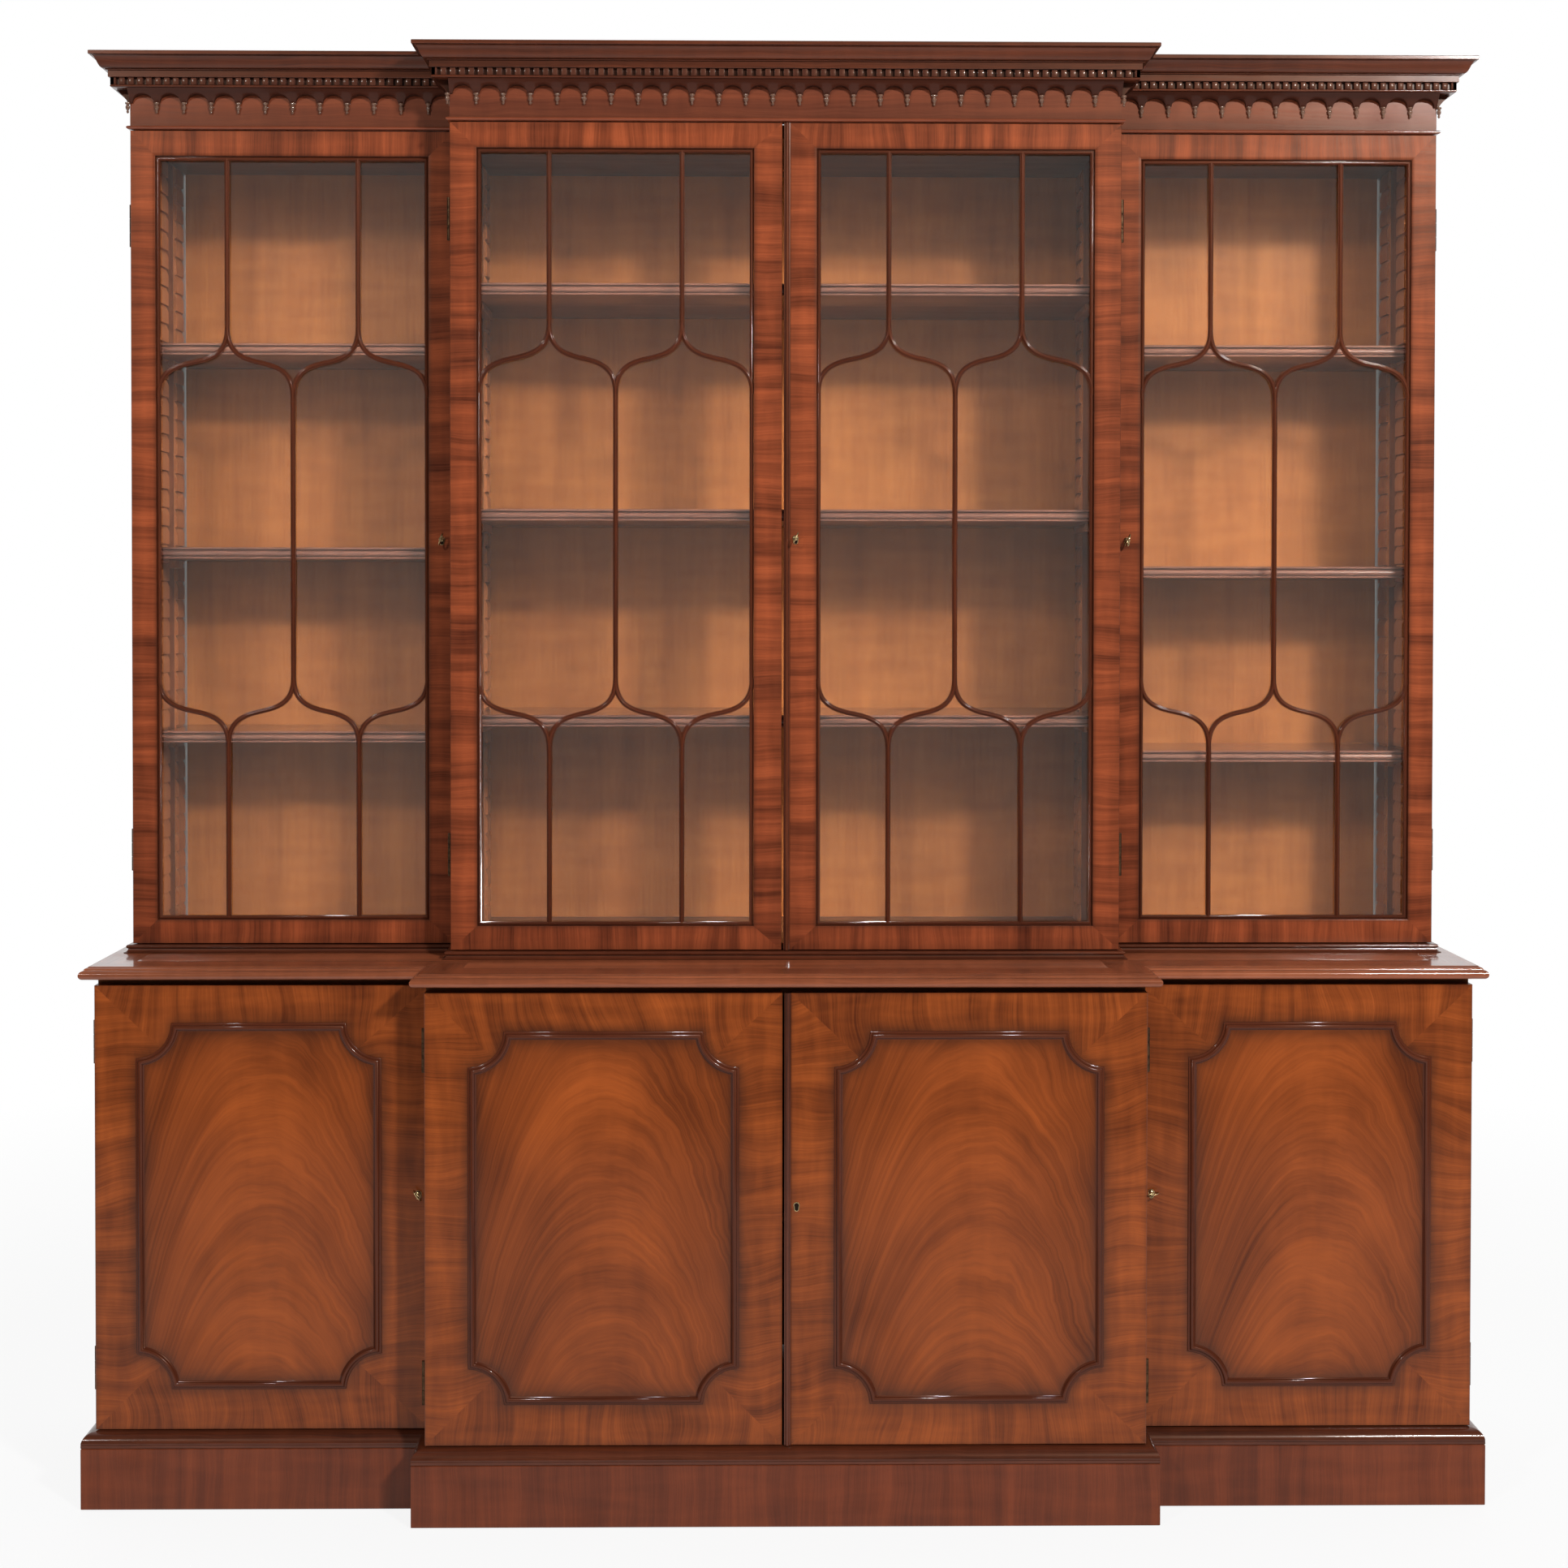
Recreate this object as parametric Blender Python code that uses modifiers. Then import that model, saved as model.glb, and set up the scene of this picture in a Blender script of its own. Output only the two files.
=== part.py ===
"""Breakfront library bookcase: glazed upper stage on a cupboard base.

Metres, +Z up, +Y towards the back. The origin is the middle of the footprint on the floor.
"Out" is a distance forward of, or sideways from, the face of a stage.
"""
import math

import bpy
import bmesh
from mathutils import Matrix, Vector

for item in list(bpy.data.objects):
    bpy.data.objects.remove(item, do_unlink=True)

# Overall sizes
TOTAL_HEIGHT = 2.135
CASE_DEPTH = 0.500              # face of the lower centre doors to the back edge
LOWER_HALF = 1.0045             # half the width of the lower stage
LOWER_CENTRE_HALF = 0.5163      # half the width of its centre part
BREAK_STEP = 0.0766             # how far the centre stands forward of the wings
UPPER_MARGIN = 0.020            # the upper stage is narrower by this at each side
UPPER_SETBACK = 0.1469          # and its face stands back by this

# Fits
GAP = 0.0003                    # between touching pieces
JOIN_SINK = 0.0005              # how far glued-on pieces reach into their board
OVERRUN = 0.004                 # how far cutters pass through
MERGE = 0.00001                 # points nearer than this are one
DOOR_GAP = 0.001                # back of a door to the edge of the case
DOOR_END_GAP = 0.0013           # above and below a door
WING_EDGE_GAP = 0.003           # free edge of a wing door to the centre's side
RUNNING_GAP = 0.0004            # round a sliding bolt

# Boards
UPRIGHT_THICK = 0.022
DOOR_THICK = 0.021
BOARD_THICK = 0.020
LOWER_TOP_THICK = 0.018
SHELF_THICK = 0.0175
BACK_THICK = 0.008
BACK_INSET = 0.002              # back panels stand in from the back edge by this

# Base
PLINTH_HEIGHT = 0.0887
PLINTH_THICK = 0.020
PLINTH_OUT = 0.0177
BASE_BOARD_THICK = 0.0211
BASE_LIP = 0.0045               # upright edge at the foot of its ovolo
BEARER_THICK = 0.030

# Waist
WAIST_BOTTOM = 0.7700
WAIST_THICK = 0.0185
WAIST_OUT = 0.0189
WAIST_NOSE_RADIUS = 0.0065
WAIST_STEP_OUT = 0.0110         # small step above the nose
WAIST_FLAT_OUT = 0.0070         # where the flat top ends
WAIST_FILLET = 0.0045
LOWER_DOOR_DROP = 0.0100        # top of the lower doors below the waist
BASE_MOULDING_HIGH = 0.0117
BASE_MOULDING_OUT = 0.0120
BASE_MOULDING_NECK_OUT = 0.0060

# Frieze and cornice, heights counted from the top of the doors' stage
CORNICE_STAGE_HIGH = 0.1080
FRIEZE_THICK = 0.020
FRIEZE_HIGH = 0.1060
NECK_HIGH = 0.0056
NECK_OUT = 0.0052
DROP_TIP = 0.0235
SPANDREL_FOOT = 0.0395
ARCH_CROWN = 0.0506
ARCH_WEB = 0.0004               # thickness left behind an arch
COVE_TOP = 0.0588
COVE_OUT = 0.0205
COVE_FOOT_OUT = 0.0030
ARCH_PITCH = 0.0398
SPANDREL_HALF = 0.0048
DROP_RADIUS = 0.0034
DROP_TIP_RADIUS = 0.0014
DROP_SEAT = 0.0029              # middle of a drop to the face of the frieze
DROP_SIDES = 5
DENTIL_FOOT = 0.0592
DENTIL_FILLET_HIGH = 0.0031
DENTIL_FILLET_OUT = 0.0240
DENTIL_FACE_OUT = 0.0237
DENTIL_DEEP = 0.0053
DENTIL_TOP = 0.0733
DENTIL_PITCH = 0.0135
DENTIL_FACE = 0.0081
CORONA_TOP = 0.0832
CORONA_OUT = 0.0265
CORONA_BEAD_HIGH = 0.0016
CORONA_BEAD_OUT = 0.0300
CYMA_FOOT_OUT = 0.0325
CYMA_TOP_OUT = 0.0470
CYMA_TOP = 0.1020
CORNICE_OUT = 0.0500

# Shelves
UPPER_SHELF_SETBACK = 0.015     # behind the front edges of the case
LOWER_SHELF_SETBACK = 0.040
LEFT_SHELF_SHARES = (0.2606, 0.4944, 0.7532)     # tops of the upper shelves in their clear height
CENTRE_SHELF_SHARES = (0.2840, 0.5411, 0.8224)
RIGHT_SHELF_SHARES = (0.2364, 0.4718, 0.7540)
LOWER_SHELF_SHARE = 0.4986
NOSING_DEEP = 0.0040
BATTEN_THICK = 0.006
BATTEN_WIDE = 0.047
BATTEN_END_GAP = 0.002
BATTEN_INSET = 0.040            # battens to the shelf's front edge and to the back panel
CLEAT_REACH = 0.014             # how far a cleat stands off its wall
CLEAT_HIGH = 0.012

# Upper doors
TOP_RAIL = 0.0378
BOTTOM_RAIL = 0.0356
WING_HINGE_STILE = 0.0370
WING_LOCK_STILE = 0.0385
CENTRE_HINGE_STILE = 0.0395
LEFT_MEETING_STILE = 0.0418
RIGHT_MEETING_STILE = 0.0392
LEFT_DOORS_EDGE = -0.0058       # free edge of the left centre doors
MEETING_BEAD_EDGE = -0.0030     # left side of the bead on the right centre doors
MEETING_BEAD_WIDE = 0.0093
MEETING_BEAD_OUT = 0.0035
BORDER_WIDE = 0.0062            # moulding round the glass
BAR_HALF = 0.0040               # half the width of a glazing bar
BAR_THICK = 0.0070
BAR_SINK = 0.0020               # bars stand behind the face of the frame by this
SIDE_LIGHT_SHARE = 0.26         # quarter bars, as a share of the opening
OGEE_HIGH = 0.1040              # height of one ogee sweep
UPPER_OGEE_DROP = 0.303         # middle of the upper ogees below the top sight line
LOWER_OGEE_RISE = 0.309         # middle of the lower ogees above the bottom sight line
OGEE_PULL_SHARE = 0.70          # how far the sweep runs straight first
OGEE_TURN_SHARES = (0.40, 0.88)
OGEE_STEPS = 4
GLASS_THICK = 0.0030
GLAZING_LIP = 0.0060            # bead that holds the glass from behind

# Lower doors
PANEL_MARGIN_HINGE = 0.0600
PANEL_MARGIN_LOCK = 0.0692
PANEL_MARGIN_CENTRE = 0.0620
PANEL_MARGIN_TOP = 0.0545
PANEL_MARGIN_BOTTOM = 0.0595
PANEL_MOULDING_WIDE = 0.0120
PANEL_MOULDING_HIGH = 0.0055
NOTCH_RADIUS = 0.0510           # concave quadrants at the corners
NOTCH_STEPS = 4

# Hinges
LEAF_THICK = 0.0012
LEAF_WIDE = 0.0170
HINGE_HIGH = 0.0640
KNUCKLE_RADIUS = 0.0030
KNUCKLE_BORE = 0.0018
PIN_RADIUS = 0.0014
KNUCKLE_STANDOFF = 0.0034       # pin centre to the side of the case
LEAF_START = 0.0038             # edge of a leaf to the pin centre
LUG_START = 0.0024              # a lug reaches this near to the pin centre
LUG_END_GAP = 0.001             # a lug is shorter than its knuckle by this at each end
LOWER_HINGE_INSET = 0.085       # middle of a hinge to the end of the door
UPPER_HINGE_INSET = 0.140
KNUCKLE_SIDES = 6
KNUCKLE_COUNT = 3

# Locks and keys
UPPER_LOCK_SHARE = 0.49898      # keys' heights, as shares of the doors
LOWER_LOCK_SHARE = 0.53130
LOCK_EDGE = 0.001               # lock case to the free edge of the door
LOCK_WIDE = 0.034
LOCK_HIGH = 0.036
LOCK_THICK = 0.009
KEY_BORE = 0.0053
UPPER_WING_BACKSET = 0.0186
LOWER_WING_BACKSET = 0.0155
CENTRE_BACKSET = 0.0175
LOCK_BOLT_LONG = 0.022
LOCK_BOLT_HIGH = 0.007
LOCK_BOLT_THICK = 0.004
LOCK_BOLT_RISE = 0.0098         # middle of the bolt to the middle of the key
LOCK_BOLT_THROW = 0.009
LOCK_POCKET_SPARE = 0.002       # pocket deeper than the bolt's reach
LOCK_POCKET_CLEAR = 0.0012      # and wider, all round
KEYHOLE_HALF = 0.0028
KEYHOLE_DROP = 0.0052           # between the centres of the slot's two round ends
KEY_STANDOFF = 0.0065           # face of the door to the bow
BOW_LONG = 0.0150
BOW_HIGH = 0.0200
BOW_WALL = 0.0026
SHANK_HALF = 0.0019
KEY_THICK = 0.0022
BIT_LONG = 0.0045
BIT_REACH = 0.0046
KEY_TIP_CLEAR = 0.0008
BOW_STEPS = 12
ROUND_STEPS = 4

# Slide bolts of the left centre doors
SLIDE_PLATE_WIDE = 0.016
SLIDE_PLATE_LONG = 0.090
SLIDE_PLATE_THICK = 0.004
SLIDE_BACKSET = 0.020
SLIDE_BOLT_WIDE = 0.007
SLIDE_BOLT_THICK = 0.004
SLIDE_BOLT_LONG = 0.075
SLIDE_KNOB_OUT = 0.005
SLIDE_KNOB_LONG = 0.008
SLIDE_KNOB_DROP = 0.050
SLIDE_THROW = 0.010
SLIDE_REST = 0.0015             # tip of the bolt to the board above

# Derived places
FRONT_Y = WAIST_OUT - (CASE_DEPTH + WAIST_OUT) / 2
BACK_Y = FRONT_Y + CASE_DEPTH
CASE_INSET = DOOR_THICK + DOOR_GAP
BASE_BOARD_FOOT = PLINTH_HEIGHT + GAP
LOWER_FLOOR = BASE_BOARD_FOOT + BASE_BOARD_THICK
WAIST_TOP = WAIST_BOTTOM + WAIST_THICK
UPPER_BASE = WAIST_TOP + GAP
UPPER_MOULDING_TOP = UPPER_BASE + BASE_MOULDING_HIGH
NECK_Z = TOTAL_HEIGHT - CORNICE_STAGE_HIGH
HINGE_AXIS_BACK = CASE_INSET - GAP - LEAF_THICK - GAP / 2
BACK_PANEL_Y = BACK_Y - BACK_INSET - BACK_THICK

STAGES = {
    "lower": {"half": LOWER_HALF, "centre": LOWER_CENTRE_HALF, "front": FRONT_Y,
              "floor": LOWER_FLOOR, "ceiling": WAIST_BOTTOM - GAP - LOWER_TOP_THICK,
              "side_foot": LOWER_FLOOR + GAP, "door_low": LOWER_FLOOR + DOOR_END_GAP,
              "door_high": WAIST_BOTTOM - LOWER_DOOR_DROP, "lock_share": LOWER_LOCK_SHARE,
              "hinge_inset": LOWER_HINGE_INSET},
    "upper": {"half": LOWER_HALF - UPPER_MARGIN, "centre": LOWER_CENTRE_HALF - UPPER_MARGIN,
              "front": FRONT_Y + UPPER_SETBACK,
              "floor": UPPER_BASE + BOARD_THICK, "ceiling": NECK_Z - GAP - BOARD_THICK,
              "side_foot": UPPER_MOULDING_TOP + GAP, "door_low": UPPER_MOULDING_TOP + DOOR_END_GAP,
              "door_high": NECK_Z - DOOR_END_GAP, "lock_share": UPPER_LOCK_SHARE,
              "hinge_inset": UPPER_HINGE_INSET},
}
for case in STAGES.values():
    case["lock"] = case["door_low"] + (case["door_high"] - case["door_low"]) * case["lock_share"]

UPPER_SHELVES = {bay: dict(zip(("bottom", "middle", "top"), shares)) for bay, shares in
                 (("left", LEFT_SHELF_SHARES), ("centre", CENTRE_SHELF_SHARES), ("right", RIGHT_SHELF_SHARES))}

CASE_WOOD = ((0.165, 0.048, 0.022), 0.34, 0.0)
MOULDING_WOOD = ((0.105, 0.030, 0.018), 0.30, 0.0)
FLAME_WOOD = ((0.245, 0.072, 0.026), 0.28, 0.0)
INSIDE_WOOD = ((0.330, 0.130, 0.050), 0.50, 0.0)
BRASS = ((0.62, 0.44, 0.18), 0.32, 1.0)
STEEL = ((0.42, 0.40, 0.37), 0.35, 1.0)
GLASS = ((0.62, 0.66, 0.64), 0.04, 0.0)
GLASS_ALPHA = 0.30


def fresh_collection(name):
    """Makes a collection of this name under the scene, in place of an old one."""
    old = bpy.data.collections.get(name)
    if old:
        bpy.data.collections.remove(old)
    made = bpy.data.collections.new(name)
    bpy.context.scene.collection.children.link(made)
    return made


model = fresh_collection("breakfront_bookcase")
cutters = fresh_collection("cutters")


def finish(name, look):
    """A Principled material for one piece."""
    colour, roughness, metallic = look
    material = bpy.data.materials.new(name)
    material.use_nodes = True
    shader = material.node_tree.nodes["Principled BSDF"]
    shader.inputs["Base Color"].default_value = (*colour, 1.0)
    shader.inputs["Roughness"].default_value = roughness
    shader.inputs["Metallic"].default_value = metallic
    if look is GLASS:
        shader.inputs["Alpha"].default_value = GLASS_ALPHA
    return material


def placed(item, place, carrier):
    """Sets an object down at a world place, on the empty that carries it."""
    item.location = place
    if carrier:
        item.parent = carrier
        item.matrix_parent_inverse = Matrix.Translation(-carrier.location)


def add_piece(name, mesh, look, place=(0, 0, 0), carrier=None):
    """Puts a mesh in the model, with its own material."""
    mesh.name = name
    item = bpy.data.objects.new(name, mesh)
    model.objects.link(item)
    mesh.materials.append(finish(name, look))
    placed(item, place, carrier)
    return item


def add_helper(name, mesh, place=(0, 0, 0), carrier=None):
    """Keeps a mesh that a Boolean uses, drawn as wire and left out of renders."""
    item = bpy.data.objects.new(name, mesh)
    cutters.objects.link(item)
    item.hide_render = True
    item.display_type = "WIRE"
    placed(item, place, carrier)
    return item


def combine(item, helper, operation):
    """Adds a Boolean modifier."""
    modifier = item.modifiers.new(operation.lower(), "BOOLEAN")
    modifier.operation = operation
    modifier.object = helper


def add_worked_piece(name, blank, cuts, joins, look, place=(0, 0, 0), carrier=None):
    """A blank with meshes cut out of it, and then others glued on; all share the piece's origin."""
    item = add_piece(name, blank, look, place, carrier)
    if cuts:
        combine(item, add_helper(name + "_cuts", joined(cuts), place, carrier), "DIFFERENCE")
    if joins:
        combine(item, add_helper(name + "_joins", joined(joins), place, carrier), "UNION")
    return item


def mesh_of(bm):
    """Turns a bmesh into a mesh with its faces pointing out."""
    bmesh.ops.recalc_face_normals(bm, faces=bm.faces)
    mesh = bpy.data.meshes.new("mesh")
    bm.to_mesh(mesh)
    bm.free()
    return mesh


def joined(meshes):
    """One mesh that holds several."""
    bm = bmesh.new()
    for mesh in meshes:
        bm.from_mesh(mesh)
    result = bpy.data.meshes.new("mesh")
    bm.to_mesh(result)
    bm.free()
    return result


def moved(mesh, matrix):
    """A copy of a mesh, moved."""
    copy = mesh.copy()
    copy.transform(matrix)
    return copy


def box(low, high):
    """A box between two corners."""
    low = Vector(low)
    high = Vector(high)
    bm = bmesh.new()
    matrix = Matrix.Translation((low + high) / 2) @ Matrix.Diagonal((*(high - low), 1))
    bmesh.ops.create_cube(bm, size=1, matrix=matrix)
    return mesh_of(bm)


def board(name, low, high, look):
    """A plain board with its origin at its middle."""
    low = Vector(low)
    high = Vector(high)
    middle = (low + high) / 2
    return add_piece(name, box(low - middle, high - middle), look, middle)


def loft(sections):
    """Skins a row of alike sections and closes both ends."""
    bm = bmesh.new()
    rings = [[bm.verts.new(point) for point in section] for section in sections]
    count = len(sections[0])
    for ring, following in zip(rings, rings[1:]):
        for i in range(count):
            j = (i + 1) % count
            bm.faces.new((ring[i], ring[j], following[j], following[i]))
    bm.faces.new(rings[0])
    bm.faces.new(reversed(rings[-1]))
    return mesh_of(bm)


def evaluated_mesh(item):
    """The mesh that an object shows after its modifiers."""
    graph = bpy.context.evaluated_depsgraph_get()
    graph.update()
    return bpy.data.meshes.new_from_object(item.evaluated_get(graph))


def baked(mesh, tools, operation):
    """Runs Booleans on a mesh and gives the result, with the helpers removed."""
    base = add_helper("base", mesh)
    helpers = [add_helper("tool", tool) for tool in tools]
    for helper in helpers:
        combine(base, helper, operation)
    result = evaluated_mesh(base)
    for helper in [base, *helpers]:
        bpy.data.objects.remove(helper, do_unlink=True)
    return result


def turned(profile, closed):
    """Turns a (radius, height) profile about Z with a Screw modifier."""
    bm = bmesh.new()
    rim = [bm.verts.new((radius, 0, height)) for radius, height in profile]
    for start, end in zip(rim, rim[1:]):
        bm.edges.new((start, end))
    if closed:
        bm.edges.new((rim[-1], rim[0]))
    mesh = bpy.data.meshes.new("mesh")
    bm.to_mesh(mesh)
    bm.free()
    item = add_helper("turned", mesh)
    screw = item.modifiers.new("turn", "SCREW")
    screw.steps = KNUCKLE_SIDES
    screw.render_steps = KNUCKLE_SIDES
    screw.use_merge_vertices = True
    screw.merge_threshold = MERGE
    result = evaluated_mesh(item)
    bpy.data.objects.remove(item, do_unlink=True)
    return welded(result)


def welded(mesh):
    """Merges points that lie together, and turns the faces out."""
    bm = bmesh.new()
    bm.from_mesh(mesh)
    bmesh.ops.remove_doubles(bm, verts=bm.verts, dist=MERGE)
    bmesh.ops.dissolve_degenerate(bm, edges=bm.edges, dist=MERGE)
    bmesh.ops.recalc_face_normals(bm, faces=bm.faces)
    bm.to_mesh(mesh)
    bm.free()
    return mesh


def flat_mesh(outlines, thickness, matrix):
    """A filled and thickened 2D curve as a mesh; inner outlines become holes."""
    curve = bpy.data.curves.new("outline", "CURVE")
    curve.dimensions = "2D"
    curve.fill_mode = "BOTH"
    curve.extrude = thickness / 2
    for outline in outlines:
        spline = curve.splines.new("POLY")
        spline.points.add(len(outline) - 1)
        for point, (x, y) in zip(spline.points, outline):
            point.co = (x, y, 0, 1)
        spline.use_cyclic_u = True
    item = bpy.data.objects.new("outline", curve)
    cutters.objects.link(item)
    mesh = evaluated_mesh(item)
    bpy.data.objects.remove(item, do_unlink=True)
    bpy.data.curves.remove(curve)
    welded(mesh)
    mesh.transform(matrix)
    return mesh


def standing(outlines, thickness, middle):
    """A flat outline in x and z that faces the front, about a middle y."""
    turn = Matrix.Translation((0, middle, 0)) @ Matrix.Rotation(math.pi / 2, 4, "X")
    return flat_mesh(outlines, thickness, turn)


def shaded_smooth(item):
    """Shades a piece with turned parts smooth, but keeps its corners."""
    item.data.shade_smooth()
    item.data.set_sharp_from_angle(angle=math.radians(40))


def arc(centre, radii, start, end, steps):
    """Points on an elliptical arc, both ends included."""
    angles = [start + (end - start) * i / steps for i in range(steps + 1)]
    return [(centre[0] + radii[0] * math.cos(a), centre[1] + radii[1] * math.sin(a)) for a in angles]


def runs_of(case):
    """The seven straight runs of a stage in plan: start, end, direction and outward normal."""
    half = case["half"]
    centre = case["centre"]
    front = case["front"]
    wing = front + BREAK_STEP
    path = [Vector(p) for p in ((-half, BACK_Y), (-half, wing), (-centre, wing), (-centre, front),
                                (centre, front), (centre, wing), (half, wing), (half, BACK_Y))]
    runs = []
    for start, end in zip(path, path[1:]):
        along = (end - start).normalized()
        runs.append((start, end, along, Vector((along.y, -along.x))))
    return runs


def corners_of(case):
    """The eight corners of a stage in plan, each with its mitre: where one unit of out leads."""
    runs = runs_of(case)
    corners = [(runs[0][0], runs[0][3])]
    for run, following in zip(runs, runs[1:]):
        corners.append((run[1], run[3] + following[3]))
    corners.append((runs[-1][1], runs[-1][3]))
    return corners


def swept(case, profile):
    """A moulding carried round a stage from back to back; the profile is (out, height)."""
    sections = []
    for corner, mitre in corners_of(case):
        sections.append([(*(corner + mitre * out), height) for out, height in profile])
    return loft(sections)


def slab(case, levels):
    """A board in the plan of a stage whose edges follow (out, height) levels."""
    return loft([[(*(corner + mitre * out), height) for corner, mitre in corners_of(case)]
                 for out, height in levels])


def plan_board(case, side, front, low, high):
    """A board in the plan of a stage, its ends and front edges set in."""
    edge = case["front"] + front
    wing = edge + BREAK_STEP
    end = case["half"] - side
    centre = case["centre"] - side
    outline = [(-end, BACK_Y), (-end, wing), (-centre, wing), (-centre, edge),
               (centre, edge), (centre, wing), (end, wing), (end, BACK_Y)]
    return loft([[(x, y, height) for x, y in outline] for height in (low, high)])


def bays_of(case):
    """Left and right walls and front edge of the three bays of a stage."""
    end = case["half"] - UPRIGHT_THICK
    inner = case["centre"] - UPRIGHT_THICK
    edge = case["front"] + CASE_INSET
    return {"left": (-end, -case["centre"], edge + BREAK_STEP), "centre": (-inner, inner, edge),
            "right": (case["centre"], end, edge + BREAK_STEP)}


def shelf_height(stage, share):
    """The top of a shelf from its share of the clear height."""
    case = STAGES[stage]
    return case["floor"] + (case["ceiling"] - case["floor"]) * share


def door_table():
    """Place, hand, stiles and lock of each door; hinge and free are the x of its two edges."""
    rows = []
    for stage, case in STAGES.items():
        backset = UPPER_WING_BACKSET if stage == "upper" else LOWER_WING_BACKSET
        for side, sign in (("left", -1), ("right", 1)):
            rows.append({"name": f"{stage}_{side}_wing_door", "stage": stage, "sign": sign,
                         "face": case["front"] + BREAK_STEP, "hinge": sign * case["half"],
                         "free": sign * (case["centre"] + WING_EDGE_GAP), "bead": 0.0,
                         "stiles": (WING_HINGE_STILE, WING_LOCK_STILE),
                         "margins": (PANEL_MARGIN_HINGE, PANEL_MARGIN_LOCK), "backset": backset})
        margins = (PANEL_MARGIN_CENTRE, PANEL_MARGIN_CENTRE)
        rows.append({"name": f"{stage}_left_centre_door", "stage": stage, "sign": -1,
                     "face": case["front"], "hinge": -case["centre"], "free": LEFT_DOORS_EDGE,
                     "bead": 0.0, "stiles": (CENTRE_HINGE_STILE, LEFT_MEETING_STILE),
                     "margins": margins, "backset": None})
        rows.append({"name": f"{stage}_right_centre_door", "stage": stage, "sign": 1,
                     "face": case["front"], "hinge": case["centre"], "free": MEETING_BEAD_EDGE,
                     "bead": MEETING_BEAD_WIDE, "stiles": (CENTRE_HINGE_STILE, RIGHT_MEETING_STILE),
                     "margins": margins, "backset": CENTRE_BACKSET})
    return rows


def hinge_heights(door):
    """The middles of a door's two hinges."""
    case = STAGES[door["stage"]]
    return case["door_low"] + case["hinge_inset"], case["door_high"] - case["hinge_inset"]


def hinge_axis(door):
    """The plan position of a door's hinge pins."""
    return door["hinge"] + door["sign"] * KNUCKLE_STANDOFF, door["face"] + HINGE_AXIS_BACK


def lock_place(door):
    """The middle of a door's keyhole, on its face."""
    x = door["free"] + door["sign"] * door["backset"]
    return Vector((x, door["face"], STAGES[door["stage"]]["lock"]))


def handed(door, place):
    """Puts a right-hand fitting at a place, turned over for a left-hand door."""
    turn = Matrix() if door["sign"] > 0 else Matrix.Rotation(math.pi, 4, "Y")
    return Matrix.Translation(place) @ turn


def hinge_leaves():
    """The door's leaf with the middle knuckle, and the case's leaf with two knuckles and the pin."""
    near = GAP / 2
    half = HINGE_HIGH / 2
    third = half / KNUCKLE_COUNT
    leaves = []
    for low, high, lugs in ((-near - LEAF_THICK, -near, (0,)),
                            (near, near + LEAF_THICK + GAP + JOIN_SINK, (-2, 2))):
        plate = box((-LEAF_START - LEAF_WIDE, low, -half), (-LEAF_START, high, half))
        reach = min(high, near + LEAF_THICK)
        tall = third - LUG_END_GAP
        tabs = [box((-LEAF_START - JOIN_SINK, low, third * place - tall),
                    (-LUG_START, reach, third * place + tall)) for place in lugs]
        leaves.append((plate, tabs))
    end = third - GAP
    tube = turned(((KNUCKLE_RADIUS, end), (KNUCKLE_RADIUS, -end), (KNUCKLE_BORE, -end),
                   (KNUCKLE_BORE, end)), True)
    spool = turned(((0, half), (KNUCKLE_RADIUS, half), (KNUCKLE_RADIUS, third), (PIN_RADIUS, third),
                    (PIN_RADIUS, -third), (KNUCKLE_RADIUS, -third), (KNUCKLE_RADIUS, -half), (0, -half)), False)
    door_leaf = baked(leaves[0][0], [*leaves[0][1], tube], "UNION")
    case_leaf = baked(leaves[1][0], [*leaves[1][1], spool], "UNION")
    return door_leaf, case_leaf


DOORS = door_table()
DOOR_LEAF, CASE_LEAF = hinge_leaves()


def carcase():
    """Boards and backs of both stages; the boards run under and over the uprights."""
    lower = STAGES["lower"]
    upper = STAGES["upper"]
    rounding = arc((0, BASE_LIP), (PLINTH_OUT, BASE_BOARD_THICK - BASE_LIP), 0, math.pi / 2, ROUND_STEPS)
    add_piece("lower_bottom_board", slab(lower, [(PLINTH_OUT, 0), *rounding]), MOULDING_WOOD,
              (0, 0, BASE_BOARD_FOOT))
    add_top_board("lower", WAIST_BOTTOM - GAP)
    add_piece("upper_bottom_board",
              plan_board(upper, UPRIGHT_THICK + GAP, CASE_INSET + GAP, UPPER_BASE, upper["floor"]), INSIDE_WOOD)
    add_top_board("upper", NECK_Z - GAP)
    for stage, case in STAGES.items():
        wall = case["half"] - UPRIGHT_THICK - GAP
        board(stage + "_back_panel", (-wall, BACK_PANEL_Y, case["floor"] + GAP),
              (wall, BACK_PANEL_Y + BACK_THICK, case["ceiling"] - GAP), INSIDE_WOOD)


def add_top_board(stage, high):
    """A top board, with the hole that the left centre door's slide bolt enters."""
    case = STAGES[stage]
    low = case["ceiling"]
    blank = plan_board(case, 0, CASE_INSET + GAP, low, high)
    middle = LEFT_DOORS_EDGE - SLIDE_BACKSET
    half = SLIDE_BOLT_WIDE / 2 + RUNNING_GAP
    near = case["front"] + DOOR_THICK + SLIDE_PLATE_THICK + GAP
    hole = box((middle - half, near - RUNNING_GAP, low - OVERRUN),
               (middle + half, near + SLIDE_BOLT_THICK + RUNNING_GAP, low + SLIDE_THROW))
    add_worked_piece(stage + "_top_board", blank, [hole], [], INSIDE_WOOD)


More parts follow.
